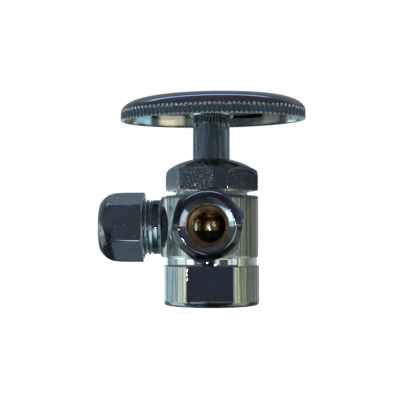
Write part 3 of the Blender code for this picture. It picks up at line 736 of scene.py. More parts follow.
def valve_body():
    body = build("valve_body_shell", body_rows(), BODY_LOOKS, CENTRE)
    # the level parts of the wrench flats, front and back
    for face in body.data.polygons:
        y, z = face.center.y, face.center.z
        level = abs(face.normal.y) > 0.9995 and abs(y) > 10.7 * MM
        if level and -19.2 * MM < z < -9.84 * MM:
            face.material_index = FLAT
    cut(body, [port_cutter("left_port", LEFT), port_cutter("front_port", FRONT)], sharp=38)
    assign(body, "body_set", "valve_body", "bar_chrome")


valve_body()

# ------------------------------------------------------------------ outlet spuds
PLATED, BRASS = 0, 1  # slots of the spuds, nuts and stem
COUPLING_PITCH = 1.058
SPUD_R = 7.0


def spud(name, place, cad_piece):
    """A threaded outlet with a collar, its shank brazed into the bar."""
    angles = circle(144)
    outside = on(BRASS, [
        (PORT_R, 8.5), (PORT_R, 7.5), (5.0, 7.5), (5.3, 7.8), (5.3, 9.45), (4.9, 9.45),
        (4.9, 10.55),
    ]) + on(PLATED, [
        (5.3, 10.55), (5.3, 12.3), (7.95, 12.3), (7.9, 12.55), (7.35, 12.95), (7.02, 13.12),
        (SPUD_R, 13.6), (SPUD_R, 14.7), (6.7, 15.0),
    ])
    stations = fillet(outside, 0.10, closed=False)
    for z in steps_between(14.85, 22.75, 0.055):
        radius = thread(angles, z, COUPLING_PITCH, 6.5, 7.14, 15.0, 23.4, lead=0.55)
        if z < 15.5:
            radius = np.maximum(radius, SPUD_R - 0.5 * np.clip((z - 14.85) / 0.55, 0, 1))
        if z > 22.3:
            radius = np.minimum(radius, SPUD_R - (z - 22.3) * 0.9)
        stations.append((radius, z, PLATED))
    inside = on(PLATED, [(6.6, 22.75), (6.5, 22.9), (6.35, 23.0)]) + on(BRASS, [
        (6.0, 23.0), (4.95, 20.9), (4.85, 20.6), (4.85, 17.6), (PORT_R, 17.3), (PORT_R, 12.0),
    ])
    stations += fillet(inside, 0.08, closed=False)
    obj = build(name, lathe(angles, stations), [SPUD_CHROME, RAW_BRASS], place)
    assign(obj, "body_set", cad_piece, "dark_chrome")


for side, place in (("left", LEFT), ("front", FRONT)):
    spud(side + "_spud_threaded", place, side + "_outlet_spud")
for side, place in (("left", LEFT), ("front", FRONT)):
    turned(
        side + "_braze_fillet", [(5.0, 9.6), (5.5, 9.6), (5.5, 10.4), (5.0, 10.4)],
        BRAZE, place, ("body_set", side + "_braze_ring", "silver_braze"), steps=96, radius=0.2,
    )
    turned(
        side + "_sleeve",
        [(4.82, 22.75), (5.17, 22.75), (6.0, 23.75), (6.0, 25.5), (5.17, 26.5), (4.82, 26.5)],
        RAW_BRASS, place, (side + "_sleeve_set", side + "_ferrule", "raw_brass"),
    )


# ------------------------------------------------------------------ hex nuts
def hex_angles(turn):
    """Columns round a hexagon, in degrees close together near each corner."""
    half = [0, 0.28, 0.55, 0.83, 1.1, 1.6, 2.5, 4, 6, 8.5, 11.5, 15, 18.5, 22, 26, 30]
    side = half + [60 - d for d in half[-2:0:-1]]
    degrees = [k * 60 + d for k in range(6) for d in side]
    return np.radians(np.array(degrees) + turn - 90.0)


def hex_radius(angles, turn, apothem, corner):
    """A hexagon with its corners rounded, as a radius at each angle."""
    a = np.degrees(angles) + 90.0 - turn
    off = np.radians(np.mod(a + 30.0, 60.0) - 30.0)
    flat = apothem / np.cos(np.radians(30.0) - np.abs(off))
    c = (apothem - corner) / math.cos(math.radians(30))
    reach = math.atan2(corner * 0.5, c + corner * math.cos(math.radians(30)))
    arc = c * np.cos(off) + np.sqrt(np.maximum(corner**2 - (c * np.sin(off)) ** 2, 0))
    return np.where(np.abs(off) < reach, arc, flat)


def nut_thread(angles, top, bottom, step, pitch, radius, depth):
    """A female thread from top down to bottom, fading in below the top."""
    stations = []
    for z in steps_between(top, bottom, step):
        rib = tooth(z / pitch - angles / TAU + 0.5)
        stations.append((radius + depth * (1 - rib) * min(1.0, (top - z) / 0.5), z, BRASS))
    return stations


def hex_nut(name, place, part_set, cad_piece, turn, plating, apothem, corner, skin, nose_from,
            soft, bore_above, female, bore_below):
    """A hexagon cut into a turned skin of (r, z) points, with a threaded bore."""
    angles = hex_angles(turn)
    hexed = hex_radius(angles, turn, apothem, corner)
    low, high = skin[0][1], skin[-1][1]
    at = smooth_curve(skin)
    # where the turned skin cuts each column of the hex, on the nose side
    dense = np.linspace(nose_from, high, 900)
    values = at(dense)
    meet = np.array([
        dense[np.argmax(values <= h)] if (values <= h).any() else high for h in hexed])
    body_from = low + 0.8
    near = [np.clip(meet + d, low, high - 0.15) for d in (-0.10, -0.05, 0.0, 0.05, 0.10)]
    heights = [low + d for d in (0, 0.03, 0.09, 0.18, 0.28, 0.38, 0.5, 0.8)]
    for t in (0.15, 0.3, 0.45, 0.6, 0.75, 0.88, 0.95):
        heights.append(body_from + (meet - body_from) * t)
    heights += near
    heights += [near[-1] + (high - near[-1]) * t for t in np.linspace(0, 1, 22)[1:]]
    insets = [0.10, 0.03] + [0.0] * (len(heights) - 2)  # the lowest edge is eased
    stations = [
        (soft_min(at(z), hexed, soft) - inset, z, PLATED) for z, inset in zip(heights, insets)]
    stations += bore_above + nut_thread(angles, **female) + bore_below
    obj = build(name, lathe(angles, stations), [plating, RAW_BRASS], place, sharp=34.0)
    assign(obj, part_set, cad_piece, "dark_chrome")


COMPRESSION_NUT = dict(
    apothem=7.9375, corner=0.42, nose_from=24.0, soft=0.09,
    skin=[
        (8.75, 17.4), (9.02, 17.52), (9.22, 17.8), (9.2, 19.5), (9.12, 22.0), (8.95, 24.6),
        (8.72, 25.6), (8.35, 26.5), (7.9, 27.2), (7.4, 27.75), (6.95, 28.15), (6.62, 28.4),
        (6.45, 28.5),
    ],
    bore_above=fillet(
        on(PLATED, [(6.5, 28.5), (6.2, 28.5), (4.98, 27.55)])
        + on(BRASS, [
            (4.95, 27.3), (4.95, 26.8), (6.15, 25.5), (7.38, 25.3), (7.38, 24.6)]),
        0.14, steps=4, closed=False,
    ),
    female=dict(top=24.9, bottom=17.95, step=0.075, pitch=COUPLING_PITCH, radius=7.38, depth=0.30),
    bore_below=on(PLATED, [(7.62, 17.85), (7.76, 17.55), (7.95, 17.4)]),
)
PACKING_NUT = dict(
    apothem=12.2 * math.cos(math.radians(30)), corner=0.40, nose_from=13.0, soft=0.45,
    skin=[
        (11.6, 9.2), (12.2, 9.36), (12.5, 9.65), (12.6, 10.5), (12.6, 12.6), (12.3, 13.6),
        (11.98, 14.2), (11.45, 14.7), (10.72, 15.06), (9.8, 15.6), (8.8, 16.12), (7.56, 16.62),
        (6.5, 16.95), (5.7, 17.2), (5.3, 17.3),
    ],
    bore_above=on(PLATED, [(5.12, 17.24), (5.03, 17.1)]) + on(BRASS, [
        (5.0, 16.8), (5.0, 15.3), (5.1, 15.2), (9.3, 15.2), (9.55, 15.1), (9.6, 14.9)]),
    female=dict(top=14.6, bottom=9.75, step=0.09, pitch=1.27, radius=9.6, depth=0.28),
    bore_below=on(BRASS, [(9.75, 9.55), (9.95, 9.3)]) + on(PLATED, [(10.0, 9.2)]),
)
for side, place, turn, plating in (
    ("left", LEFT, 37.0, NUT_CHROME), ("front", FRONT, 47.0, FRONT_NUT_CHROME),
):
    hex_nut(side + "_nut_polished", place, side + "_nut_set", side + "_compression_nut",
            turn, plating, **COMPRESSION_NUT)
hex_nut("packing_nut_polished", CENTRE, "packing_nut_set", "packing_nut", 21.0, BONNET_CHROME,
        **PACKING_NUT)

# ------------------------------------------------------------------ packing stack
turned(
    "support_washer", [(4.96, 10.25), (7.4, 10.25), (7.4, 11.0), (4.96, 11.0)],
    RAW_BRASS, CENTRE, ("body_set", "packing_support_washer", "raw_brass"),
)
turned(
    "graphite_packing",
    [(4.82, 11.05), (7.44, 11.05), (7.44, 12.75), (6.75, 13.1), (5.51, 13.1), (4.82, 12.75)],
    GRAPHITE, CENTRE, ("body_set", "stem_packing", "packing_graphite"), radius=0.2,
)
turned(
    "nylon_gland",
    [(4.88, 13.4), (7.35, 13.4), (7.35, 14.65), (8.4, 14.65), (8.4, 15.15), (4.88, 15.15)],
    NYLON, CENTRE, ("gland_set", "packing_gland", "white_nylon"),
)

# ------------------------------------------------------------------ stem
STEM_R, SPLINE_R, SPLINES = 4.76, 4.74, 36


def stem():
    """Screw hole at the foot, male thread, plain shaft, splined end with a screw hole."""
    angles = circle(360)
    stations = on(BRASS, [
        (0, 9.65), (1.2, 8.95), (1.75, 8.65), (1.75, 5.5), (1.75, 2.0), (1.85, 1.72),
        (1.98, 1.65), (4.42, 1.65), (4.55, 1.72), (4.6, 1.85),
    ])
    for z in steps_between(2.1, 6.25, 0.1):
        radius = thread(angles, z, 1.5875, 5.55, 6.4, 1.4, 7.0, lead=0.9)
        if z < 2.8:
            radius = np.minimum(radius, 5.2 + (z - 2.0) * 1.6)
        stations.append((radius, z, BRASS))
    stations += on(PLATED, [
        (5.65, 6.32), (5.4, 6.45), (4.95, 6.62), (4.8, 6.78), (STEM_R, 7.0), (STEM_R, 10.0),
        (STEM_R, 15.0), (STEM_R, 20.0), (STEM_R, 24.0), (STEM_R, 26.0), (4.755, 26.7),
        (SPLINE_R, 26.82),
    ])
    valley = 0.36 * (1 - tooth(angles * SPLINES / TAU, 0.30, 0.12))
    # z, share of the splines' full depth
    for z, share in (
        (26.9, 0.15), (26.98, 0.45), (27.06, 0.8), (27.14, 1.0), (28.0, 1.0), (29.5, 1.0),
        (31.0, 1.0), (31.12, 0.9),
    ):
        stations.append((SPLINE_R - valley * share, z, PLATED))
    stations += on(PLATED, [
        (4.36, 31.2), (4.2, 31.38), (4.05, 31.48), (3.9, 31.5), (2.1, 31.5), (1.96, 31.45),
        (1.9, 31.3), (1.9, 28.0), (1.9, 24.6), (0, 24.0),
    ])
    rows = lathe(angles, stations)
    obj = build("stem_turned", rows, [STEM_CHROME, RAW_BRASS], CENTRE, closed=False)
    assign(obj, "stem_set", "stem", "dark_chrome")


stem()
turned(
    "washer_holder", [(1.9, -1.2), (5.0, -1.2), (5.2, -1.0), (5.2, 1.4), (5.0, 1.6), (1.9, 1.6)],
    HOLDER_BRASS, CENTRE, ("stem_set", "seat_washer_holder", "raw_brass"), steps=160,
)
turned(
    "rubber_seat_washer", [(2.0, -3.95), (4.65, -3.95), (4.9, -3.7), (4.9, -1.25), (2.0, -1.25)],
    RUBBER, CENTRE, ("stem_set", "seat_washer", "black_rubber"), radius=0.15,
)


# ------------------------------------------------------------------ screws
def slot_cutter(half_x, half_y, low, high, turn, materials):
    bm = bmesh.new()
    bmesh.ops.create_cube(bm, size=2.0)
    for v in bm.verts:
        z = low if v.co.z < 0 else high
        v.co = Vector((v.co.x * half_x * MM, v.co.y * half_y * MM, z * MM))
    mesh = bpy.data.meshes.new("slot")
    bm.to_mesh(mesh)
    bm.free()
    cutter = bpy.data.objects.new("slot", mesh)
    bpy.context.scene.collection.objects.link(cutter)
    cutter.matrix_world = CENTRE @ Matrix.Rotation(math.radians(turn), 4, "Z")
    for material in materials:
        mesh.materials.append(material)
    return cutter


def screw(name, place, material, below, shank, above, slots, part):
    """(r, z) points below and above a threaded shank (low, high), all from the bottom up.

    slots = [(half x, half y, low, high, turn in degrees)]; part = (set, CAD piece, look); the look
    is not used.
    """
    angles = circle(120)
    low, high = shank
    stations = on(0, below)
    for z in steps_between(low, high, 0.07):
        radius = thread(angles, z, 0.7, 1.28, 1.55, low - 0.1, high + 0.1, lead=0.5)
        stations.append((radius, z, 0))
    stations += on(0, above)
    obj = build(name, lathe(angles, stations), [material], place, closed=False)
    cut(obj, [slot_cutter(*slot, obj.data.materials) for slot in slots], sharp=35)
    assign(obj, *part)


screw(
    "seat_screw", CENTRE, RAW_BRASS,
    below=[
        (0, -5.12), (0.9, -5.1), (1.75, -5.04), (2.3, -4.88), (2.62, -4.66), (2.74, -4.45),
        (2.75, -4.1), (2.72, -4.02), (2.65, -4.0), (1.6, -4.0), (1.55, -3.95), (1.55, -1.5),
    ],
    shank=(-1.2, 5.6),
    above=[(1.2, 5.9), (0.95, 6.45), (0.6, 6.62), (0, 6.65)],
    slots=[(3.2, 0.4, -6.0, -4.5, 0)],
    part=("stem_set", "seat_washer_screw", "raw_brass"),
)
screw(
    "handle_screw_head", CENTRE @ Matrix.Translation((0, 0, 0.2 * MM)), SCREW_STEEL,
    below=[(0, 25.35), (0.7, 25.38), (1.05, 25.5), (1.3, 25.8)],
    shank=(26.0, 31.6),
    above=[
        (1.5, 31.8), (1.55, 32.1), (1.56, 32.55), (1.62, 32.64), (2.95, 33.6), (3.06, 33.7),
        (3.1, 33.78), (3.08, 33.83), (3.0, 33.86), (2.2, 33.93), (1.2, 33.955), (0, 33.965),
    ],
    slots=[(1.6, 0.3, 32.8, 35.0, 20), (0.3, 1.6, 32.8, 35.0, 20)],
    part=("stem_set", "handle_screw", "plated_steel"),
)

# ------------------------------------------------------------------ handle
LONG, SHORT = 24.1, 13.9  # half axes of the oval
TEETH, PER_TOOTH = 100, 8
COUNTERSINK_R, HUB_R = 3.62, 7.6
TOP, KNURL, UNDER, SOCKET = range(4)


def dome_z(s):
    """Height of the dome at a share s of the oval."""
    return 29.7 + 4.45 * np.maximum(0.0, 1.0 - np.clip(s, 0, 1) ** 4.75) ** (1.0 / 2.05)


def under_z(s):
    """Height of the hollow underside at a share s of the oval."""
    return np.minimum(dome_z(s) - 1.45, 32.45) - 0.55 * np.clip((s - 0.55) / 0.35, 0, 1) ** 2


def handle_rows():
    # columns evenly spaced along the oval's rim
    count = TEETH * PER_TOOTH
    fine = np.linspace(0, TAU, 40001)
    pieces = np.hypot(np.diff(LONG * np.cos(fine)), np.diff(SHORT * np.sin(fine)))
    length = np.concatenate([[0], np.cumsum(pieces)])
    t = np.interp(np.arange(count) / count * length[-1], length, fine)
    normal_x, normal_y = np.cos(t) / LONG, np.sin(t) / SHORT
    size = np.hypot(normal_x, normal_y)
    normal_x, normal_y = normal_x / size, normal_y / size
    # 0 on a tooth's crest, 1 in the groove between
    groove = 1 - tooth(np.arange(count) / PER_TOOTH, 0.30, 0.16)
    uneven = np.repeat(np.random.default_rng(5).uniform(0.25, 1.25, TEETH), PER_TOOTH)
    rows = []

    def add(x, y, z, slot):
        rows.append((np.stack([x, y, np.broadcast_to(z, x.shape)], 1), slot))

    def oval(s, z, deep, slot):
        """The oval at share s, set in by deep."""
        x = LONG * s * np.cos(t) - deep * normal_x
        add(x, SHORT * s * np.sin(t) - deep * normal_y, z, slot)

    def between(r, share, height, slot, drop=0.0):
        """From a circle of radius r to nearly the oval, by share, at height(s) - drop."""
        x = r * np.cos(t) * (1 - share) + LONG * 0.97 * np.cos(t) * share
        y = r * np.sin(t) * (1 - share) + SHORT * 0.97 * np.sin(t) * share
        s = np.sqrt((x / LONG) ** 2 + (y / SHORT) ** 2)
        add(x, y, height(s) - drop, slot)

    # top, from the screw's countersink out over the dome
    for r, drop in ((3.42, 0.12), (3.50, 0.03)):
        between(r, 0.0, dome_z, TOP, drop)
    for share in (
        0.0, 0.04, 0.1, 0.18, 0.27, 0.37, 0.47, 0.56, 0.64, 0.71, 0.77, 0.82, 0.865, 0.905,
        0.94, 0.97, 1.0,
    ):
        between(COUNTERSINK_R, share, dome_z, TOP)
    for s in (0.976, 0.982, 0.987, 0.9905, 0.9935):
        oval(s, dome_z(s), 0.0, TOP)
    # the knurl's grooves run out onto the dome's edge
    for s, notch in ((0.9955, 0.03), (0.9972, 0.11), (0.9986, 0.22), (0.9996, 0.33)):
        oval(s, dome_z(s) - 0.35 * notch * groove * uneven, notch * groove * uneven, KNURL)
    # rim: z, inset, groove depth
    knurl = [(z, 0.0, 0.42) for z in (29.75, 29.5, 29.2, 28.8, 28.4, 28.0, 27.78)]
    knurl += [(27.68, 0.06, 0.34), (27.62, 0.18, 0.20), (27.60, 0.36, 0.05)]
    for z, inset, notch in knurl:
        oval(1.0, z, inset + notch * groove, KNURL)
    # lower lip and the wall inside it: z, inset
    for z, inset in (
        (27.60, 0.66), (27.62, 0.80), (27.70, 0.90), (27.85, 0.96), (28.4, 1.07), (29.0, 1.19),
        (29.5, 1.28), (30.0, 1.37),
    ):
        oval(1.0, z, inset, UNDER)
    for s, z in ((0.93, 30.75), (0.91, 31.25), (0.88, 31.6)):
        add(LONG * s * np.cos(t), (SHORT * s + 0.1) * np.sin(t), z, UNDER)
    for share in (0.80, 0.68, 0.55, 0.42, 0.30, 0.19, 0.10, 0.04):
        between(HUB_R, share, under_z, UNDER)
    # hub, then the socket for the stem and the screw
    rows += lathe(t, on(UNDER, [
        (HUB_R, 32.25), (7.25, 31.95), (6.95, 31.6), (6.6, 31.1), (6.3, 30.6), (6.0, 30.0),
        (5.82, 29.55), (5.72, 29.2), (5.62, 28.85), (5.55, 28.68), (5.46, 28.58), (5.36, 28.55),
        (5.15, 28.55), (5.06, 28.6), (5.02, 28.72),
    ]) + on(SOCKET, [
        (5.02, 30.0), (5.02, 31.55), (4.95, 31.65), (2.2, 31.65), (2.1, 31.72), (2.1, 32.5),
        (2.18, 32.66), (3.3, 33.7),
    ]))
    c, s = math.cos(HANDLE_TURN), math.sin(HANDLE_TURN)
    turned_rows = []
    for points, slot in rows:
        x, y, z = points.T
        turned_rows.append((np.stack([x * c - y * s, x * s + y * c, z], 1), slot))
    return turned_rows


# painted reflections: emitted patches of light on the back wall of the handle's hollow
# x from, x to, softness of the edges (mm), colour
UNDER_PAINTED_REFLECTIONS = (
    (-20.3, -17.0, 0.5, (0.24, 0.44, 0.55)),
    (-14.6, -8.3, 0.9, (0.50, 0.50, 0.35)),
    (13.6, 17.6, 0.7, (0.115, 0.125, 0.125)),
    (-7.5, -5.2, 0.6, (0.05, 0.07, 0.07)),
)


def paint_under_reflections(material):
    """Painted reflections: faint blotchy patches of emitted light on the back wall of the handle's
    hollow.
    """
    tree = material.node_tree
    g = Graph(tree)
    x, y, z = g.xyz(g.place())
    back = g.times(g.fade(y, 2.0, 5.0), g.zone(z, 28.2, 30.8, soft=0.3))
    blotch = g.smooth(g.noise(None, 900.0, detail=5.0), 0.36, 0.62, low=0.25, high=1.35)
    painted_reflection = None
    for start, end, soft, tint in UNDER_PAINTED_REFLECTIONS:
        part = g.times(g.times(g.zone(x, start, end, soft), back), blotch)
        shade = g.mix(part, BLACK, tint)
        painted_reflection = shade if painted_reflection is None else g.mix(1.0, painted_reflection, shade, "ADD")
    bsdf = tree.nodes["Principled BSDF"]
    g.link(painted_reflection, bsdf.inputs["Emission Color"])
    bsdf.inputs["Emission Strength"].default_value = 1.0


KNURL_CHROME = chrome(
    "knurl_chrome", tints=((0.45, 0.49, 0.55), (0.56, 0.57, 0.60)), rough=0.14,
    pit=(0.6, 0.45, 0.16, -0.040), fine_pit=(0.35, 0.45, 0.12, -0.014))
# tints darker than the handle's top: painted shade on the underside
UNDER_CHROME = chrome(
    "handle_under_chrome", tints=((0.34, 0.38, 0.40), (0.42, 0.42, 0.39)), rough=0.12,
    fine_pit=(0.4, 0.3, 0.1, 0.015))
paint_under_reflections(UNDER_CHROME)
handle_looks = [HANDLE_CHROME, KNURL_CHROME, UNDER_CHROME, RAW_BRASS]
handle = build("handle_domed", handle_rows(), handle_looks, HANDLE, sharp=48.0)
assign(handle, "stem_set", "handle", "dark_chrome")

# the left outlet stays out of the other pieces' reflections
for name in ("left_nut_polished", "left_spud_threaded"):
    bpy.data.objects[name].visible_glossy = False

# ------------------------------------------------------------------ surroundings
# Colour bands of the reflected world, from straight down to straight up. Each has the
# elevations in degrees over which it takes over from the band below, and its stops:
# (azimuth in degrees from the front, positive towards +X, then red, green, blue).
WORLD_BANDS = [
    (None, [
        (-180, 0.11, 0.16, 0.20), (-145, 0.10, 0.15, 0.19), (-125, 0.05, 0.07, 0.09),
        (120, 0.045, 0.055, 0.07), (150, 0.05, 0.07, 0.09), (180, 0.11, 0.16, 0.20),
    ]),
    ((-68.0, -62.0), [
        (-180, 0.17, 0.23, 0.29), (-150, 0.12, 0.17, 0.20), (-105, 0.09, 0.15, 0.18),
        (-96, 0.7, 1.0, 1.15), (-73, 0.7, 1.0, 1.15), (-69, 0.09, 0.14, 0.17),
        (-45, 0.09, 0.13, 0.15), (-14, 0.06, 0.08, 0.10), (-11, 1.3, 1.6, 1.6),
        (-7, 1.3, 1.6, 1.6), (-5, 0.04, 0.05, 0.07), (30, 0.06, 0.07, 0.09),
        (75, 0.08, 0.09, 0.09), (88, 0.28, 0.29, 0.24), (108, 0.24, 0.25, 0.22),
        (130, 0.13, 0.14, 0.14), (160, 0.28, 0.33, 0.32), (180, 0.17, 0.23, 0.29),
    ]),
    ((-36.0, -30.0), [
        (-180, 0.20, 0.27, 0.33), (-135, 0.20, 0.27, 0.31), (-120, 0.38, 0.52, 0.58),
        (-112, 1.30, 1.70, 1.85), (-97, 1.50, 1.95, 2.15), (-85, 1.50, 1.95, 2.15),
        (-72, 1.50, 1.95, 2.15), (-68, 0.22, 0.28, 0.30), (-40, 0.16, 0.24, 0.30),
        (-25, 0.07, 0.12, 0.16), (-13, 0.05, 0.07, 0.09), (-11, 1.6, 1.9, 1.8),
        (-7, 1.6, 1.85, 1.7), (-5, 0.05, 0.06, 0.08), (19, 0.05, 0.07, 0.08),
        (23, 0.90, 0.86, 0.56), (42, 0.95, 0.92, 0.62), (47, 0.12, 0.14, 0.14),
        (55, 0.20, 0.30, 0.34), (58, 0.55, 0.95, 1.20), (69, 0.60, 0.95, 1.15),
        (73, 0.95, 0.98, 0.85), (98, 0.95, 0.98, 0.85), (103, 0.18, 0.20, 0.19),
        (130, 0.10, 0.13, 0.14), (155, 0.26, 0.31, 0.31), (180, 0.20, 0.27, 0.33),
    ]),
    ((-10.0, -7.0), [
        (-180, 0.30, 0.40, 0.44), (-174, 0.80, 0.98, 1.05), (-160, 0.66, 0.85, 0.95),
        (-153, 1.5, 1.8, 1.9), (-145, 1.3, 1.6, 1.7), (-140, 0.26, 0.38, 0.42),
        (-125, 0.34, 0.50, 0.56), (-112, 0.52, 0.74, 0.84), (-104, 0.62, 0.84, 0.94),
        (-98, 0.16, 0.24, 0.28), (-87, 0.70, 0.88, 0.94), (-68, 0.78, 0.90, 0.88),
        (-64, 0.30, 0.34, 0.34), (-60, 1.15, 1.22, 1.12), (-44, 1.10, 1.15, 1.02),
        (-40, 0.10, 0.12, 0.14), (-12, 0.030, 0.038, 0.055), (12, 0.030, 0.038, 0.055),
        (15, 0.75, 0.76, 0.62), (20, 0.70, 0.72, 0.58), (23, 0.055, 0.075, 0.09),
        (42, 0.055, 0.08, 0.10), (45, 0.60, 0.80, 0.90), (51, 0.55, 0.72, 0.80),
        (54, 0.20, 0.22, 0.20), (57, 0.80, 0.80, 0.62), (73, 0.75, 0.74, 0.56),
        (78, 0.30, 0.32, 0.26), (82, 0.42, 0.42, 0.32), (91, 0.36, 0.36, 0.28),
        (96, 0.13, 0.15, 0.13), (158, 0.50, 0.52, 0.48),
    ]),
    ((2.9, 3.6), [
        (-180, 0.20, 0.26, 0.30), (-150, 0.13, 0.18, 0.21), (-122, 0.13, 0.18, 0.20),
        (-105, 0.35, 0.45, 0.50), (-92, 0.06, 0.09, 0.10), (-60, 0.07, 0.10, 0.12),
        (-30, 0.065, 0.085, 0.10), (-12, 0.04, 0.055, 0.075), (20, 0.04, 0.05, 0.07),
        (75, 0.045, 0.055, 0.075), (110, 0.04, 0.05, 0.07), (125, 0.10, 0.13, 0.14),
        (180, 0.20, 0.26, 0.30),
    ]),
    ((5.2, 6.0), [
        (-180, 0.26, 0.30, 0.33), (-160, 0.18, 0.24, 0.28), (-130, 0.14, 0.21, 0.26),
        (-105, 0.20, 0.30, 0.36), (-92, 0.08, 0.13, 0.17), (-60, 0.11, 0.17, 0.20),
        (-42, 0.07, 0.13, 0.17), (-30, 0.05, 0.09, 0.13), (-10, 0.07, 0.10, 0.12),
        (0, 0.05, 0.07, 0.09), (30, 0.06, 0.09, 0.12), (45, 0.07, 0.11, 0.15),
        (70, 0.07, 0.10, 0.12), (92, 0.09, 0.13, 0.15), (104, 0.24, 0.31, 0.33),
        (135, 0.19, 0.24, 0.26), (155, 0.20, 0.25, 0.27), (180, 0.26, 0.30, 0.33),
    ]),
    ((8.5, 11.0), [
        (-180, 0.23, 0.27, 0.31), (-168, 0.20, 0.25, 0.29), (-150, 0.19, 0.24, 0.28),
        (-120, 0.14, 0.19, 0.23), (-105, 0.09, 0.13, 0.16), (-60, 0.07, 0.09, 0.11),
        (-15, 0.06, 0.09, 0.11), (0, 0.05, 0.07, 0.09), (60, 0.05, 0.06, 0.07),
        (90, 0.07, 0.09, 0.10), (120, 0.09, 0.12, 0.13), (150, 0.12, 0.15, 0.17),
        (168, 0.17, 0.20, 0.22), (180, 0.23, 0.27, 0.31),
    ]),
    ((24.0, 30.0), [
        (-180, 0.18, 0.24, 0.29), (-140, 0.14, 0.19, 0.23), (-105, 0.08, 0.10, 0.13),
        (-85, 0.045, 0.055, 0.07), (85, 0.045, 0.055, 0.065), (120, 0.18, 0.20, 0.20),
        (150, 0.19, 0.22, 0.24), (180, 0.18, 0.24, 0.29),
    ]),
    ((42.0, 48.0), [
        (-180, 0.13, 0.17, 0.20), (-160, 0.15, 0.19, 0.22), (-120, 0.17, 0.21, 0.24),
        (-105, 0.07, 0.08, 0.10), (-30, 0.06, 0.05, 0.07), (5, 0.085, 0.035, 0.05),
        (60, 0.085, 0.04, 0.05), (85, 0.045, 0.05, 0.06), (105, 0.11, 0.12, 0.13),
        (180, 0.15, 0.19, 0.22),
    ]),
    ((60.0, 66.0), [
        (-180, 0.10, 0.13, 0.17), (-90, 0.07, 0.10, 0.15), (-40, 0.06, 0.07, 0.09),
        (70, 0.05, 0.05, 0.06), (120, 0.08, 0.07, 0.09), (180, 0.10, 0.13, 0.17),
    ]),
]
RAMP_SCALE = 4.0  # ramp colours are stored divided by this, and multiplied back
STRIP_BLUE = (0.9, 1.3, 2.1)


def colour_band(g, azimuth, stops):
    ramp = g.node("ShaderNodeValToRGB")
    g.link(g.affine(azimuth, 1 / 360.0, 0.5), ramp.inputs[0])
    elements = ramp.color_ramp.elements
    while len(elements) > 1:
        elements.remove(elements[-1])
    for i, (degrees, *colour) in enumerate(stops):
        position = (degrees + 180) / 360.0
        if i == 0:
            element = elements[0]
            element.position = position
        else:
            element = elements.new(position)
        element.color = (*[c / RAMP_SCALE for c in colour], 1)
    return g.mix(1.0, ramp.outputs[0], (RAMP_SCALE,) * 3, "MULTIPLY")


def surroundings():
    """Bands of colour for light and reflections, plain white for the camera."""
    world = bpy.data.worlds.new("studio")
    bpy.context.scene.world = world
    world.use_nodes = True
    tree = world.node_tree
    tree.nodes.clear()
    g = Graph(tree)
    x, y, z = g.xyz(g.node("ShaderNodeTexCoord").outputs["Generated"])
    azimuth = g.times(g.math("ARCTAN2", x, g.times(y, -1.0)), 180.0 / math.pi)
    elevation = g.times(g.math("ARCSINE", z), 180.0 / math.pi)
    for edge, stops in WORLD_BANDS:
        band = colour_band(g, azimuth, stops)
        colour = g.mix(g.smooth(elevation, *edge), colour, band) if edge else band
    # blue strip overhead, a little behind the middle
    strip = g.times(g.window(y, 0.10, 0.20, soft=0.02), g.window(x, -0.62, 0.35, soft=0.10))
    strip = g.times(strip, g.smooth(z, 0.5, 0.7))
    colour = g.mix(strip, colour, STRIP_BLUE)
    seen = g.node("ShaderNodeLightPath").outputs["Is Camera Ray"]
    colour = g.mix(seen, colour, (1.0, 1.0, 1.0))
    shader = g.node("ShaderNodeBackground")
    g.link(colour, shader.inputs["Color"])
    shader.inputs["Strength"].default_value = 1.0
    out = g.node("ShaderNodeOutputWorld")
    tree.links.new(shader.outputs[0], out.inputs[0])


def pale_floor():
    mesh = bpy.data.meshes.new("pale_floor")
    bm = bmesh.new()
    bmesh.ops.create_circle(bm, cap_ends=True, radius=6.0, segments=96)
    bm.to_mesh(mesh)
    bm.free()
    floor = bpy.data.objects.new("pale_floor", mesh)
    bpy.context.scene.collection.objects.link(floor)
    floor.location = (0, 0, cad_low.z - 0.0001)
    mat, g, bsdf = new_material("pale_floor")
    bsdf.inputs["Base Color"].default_value = (0.86, 0.87, 0.88, 1)
    bsdf.inputs["Roughness"].default_value = 0.9
    bsdf.inputs["Emission Color"].default_value = (1, 1, 1, 1)
    # glows only towards the camera
    seen = g.node("ShaderNodeLightPath").outputs["Is Camera Ray"]
    g.link(g.times(seen, 0.93), bsdf.inputs["Emission Strength"])
    mesh.materials.append(mat)
    floor.visible_glossy = False


surroundings()
pale_floor()


# ------------------------------------------------------------------ lights and camera (metres)
def add_light(name, kind, energy, colour):
    data = bpy.data.lights.new(name, kind)
    data.energy, data.color = energy, colour
    lamp = bpy.data.objects.new(name, data)
    bpy.context.scene.collection.objects.link(lamp)
    lamp.visible_camera = False
    return lamp, data


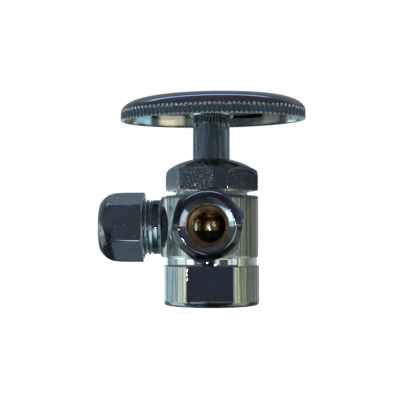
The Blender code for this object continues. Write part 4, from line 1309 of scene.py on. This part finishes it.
def overhead_softbox():
    lamp, data = add_light("overhead_softbox", "AREA", energy=4.0, colour=(1, 1, 1))
    data.shape, data.size, data.size_y = "RECTANGLE", 0.9, 0.9
    lamp.location = (0.05, 0.10, 0.75)
    aim = Vector((0, 0, 0.02)) - Vector((0.05, 0.10, 0.75))
    lamp.rotation_euler = aim.to_track_quat("-Z", "Y").to_euler()
    lamp.visible_glossy = False


def bore_light(name, turn, rise, colour):
    """A narrow spot into the front outlet; turn and rise are in degrees off its axis."""
    lamp, data = add_light(name, "SPOT", energy=1.5, colour=colour)
    data.spot_size, data.spot_blend, data.shadow_soft_size = math.radians(2.2), 0.4, 0.012
    turn, rise = math.radians(turn), math.radians(rise)
    away = Vector((math.sin(turn), -math.cos(turn), math.sin(rise)))
    lamp.location = CENTRE.translation + Vector((0, -0.010, 0)) + away * 0.30
    lamp.rotation_euler = (-away).to_track_quat("-Z", "Y").to_euler()


overhead_softbox()
bore_light("bore_light_a", turn=-9.0, rise=-3.0, colour=(1.0, 0.96, 0.84))
bore_light("bore_light_b", turn=12.0, rise=2.0, colour=(0.85, 0.97, 1.0))

# degrees: round the valve from the front, turned further to the left, tilted up
ORBIT, YAW, PITCH = 2.0, 0.797, 2.70
DISTANCE, CAMERA_DROP = 212.0, 3.0  # mm


def add_camera():
    data = bpy.data.cameras.new("camera")
    data.lens, data.sensor_width = 73.8, 36.0
    data.clip_start, data.clip_end = 0.01, 50.0
    camera = bpy.data.objects.new("camera", data)
    bpy.context.scene.collection.objects.link(camera)
    orbit, heading, tilt = (math.radians(d) for d in (ORBIT, ORBIT + YAW, PITCH))
    camera.location = CENTRE.translation + Vector((
        math.sin(orbit) * DISTANCE * MM, -math.cos(orbit) * DISTANCE * MM, -CAMERA_DROP * MM))
    ahead = Vector((
        -math.sin(heading) * math.cos(tilt), math.cos(heading) * math.cos(tilt), math.sin(tilt)))
    camera.rotation_mode = "QUATERNION"
    camera.rotation_quaternion = ahead.to_track_quat("-Z", "Y")
    bpy.context.scene.camera = camera


add_camera()
view = bpy.context.scene.view_settings
view.view_transform = "Standard"
view.look = "None"
view.exposure = 0.0
view.gamma = 1.0
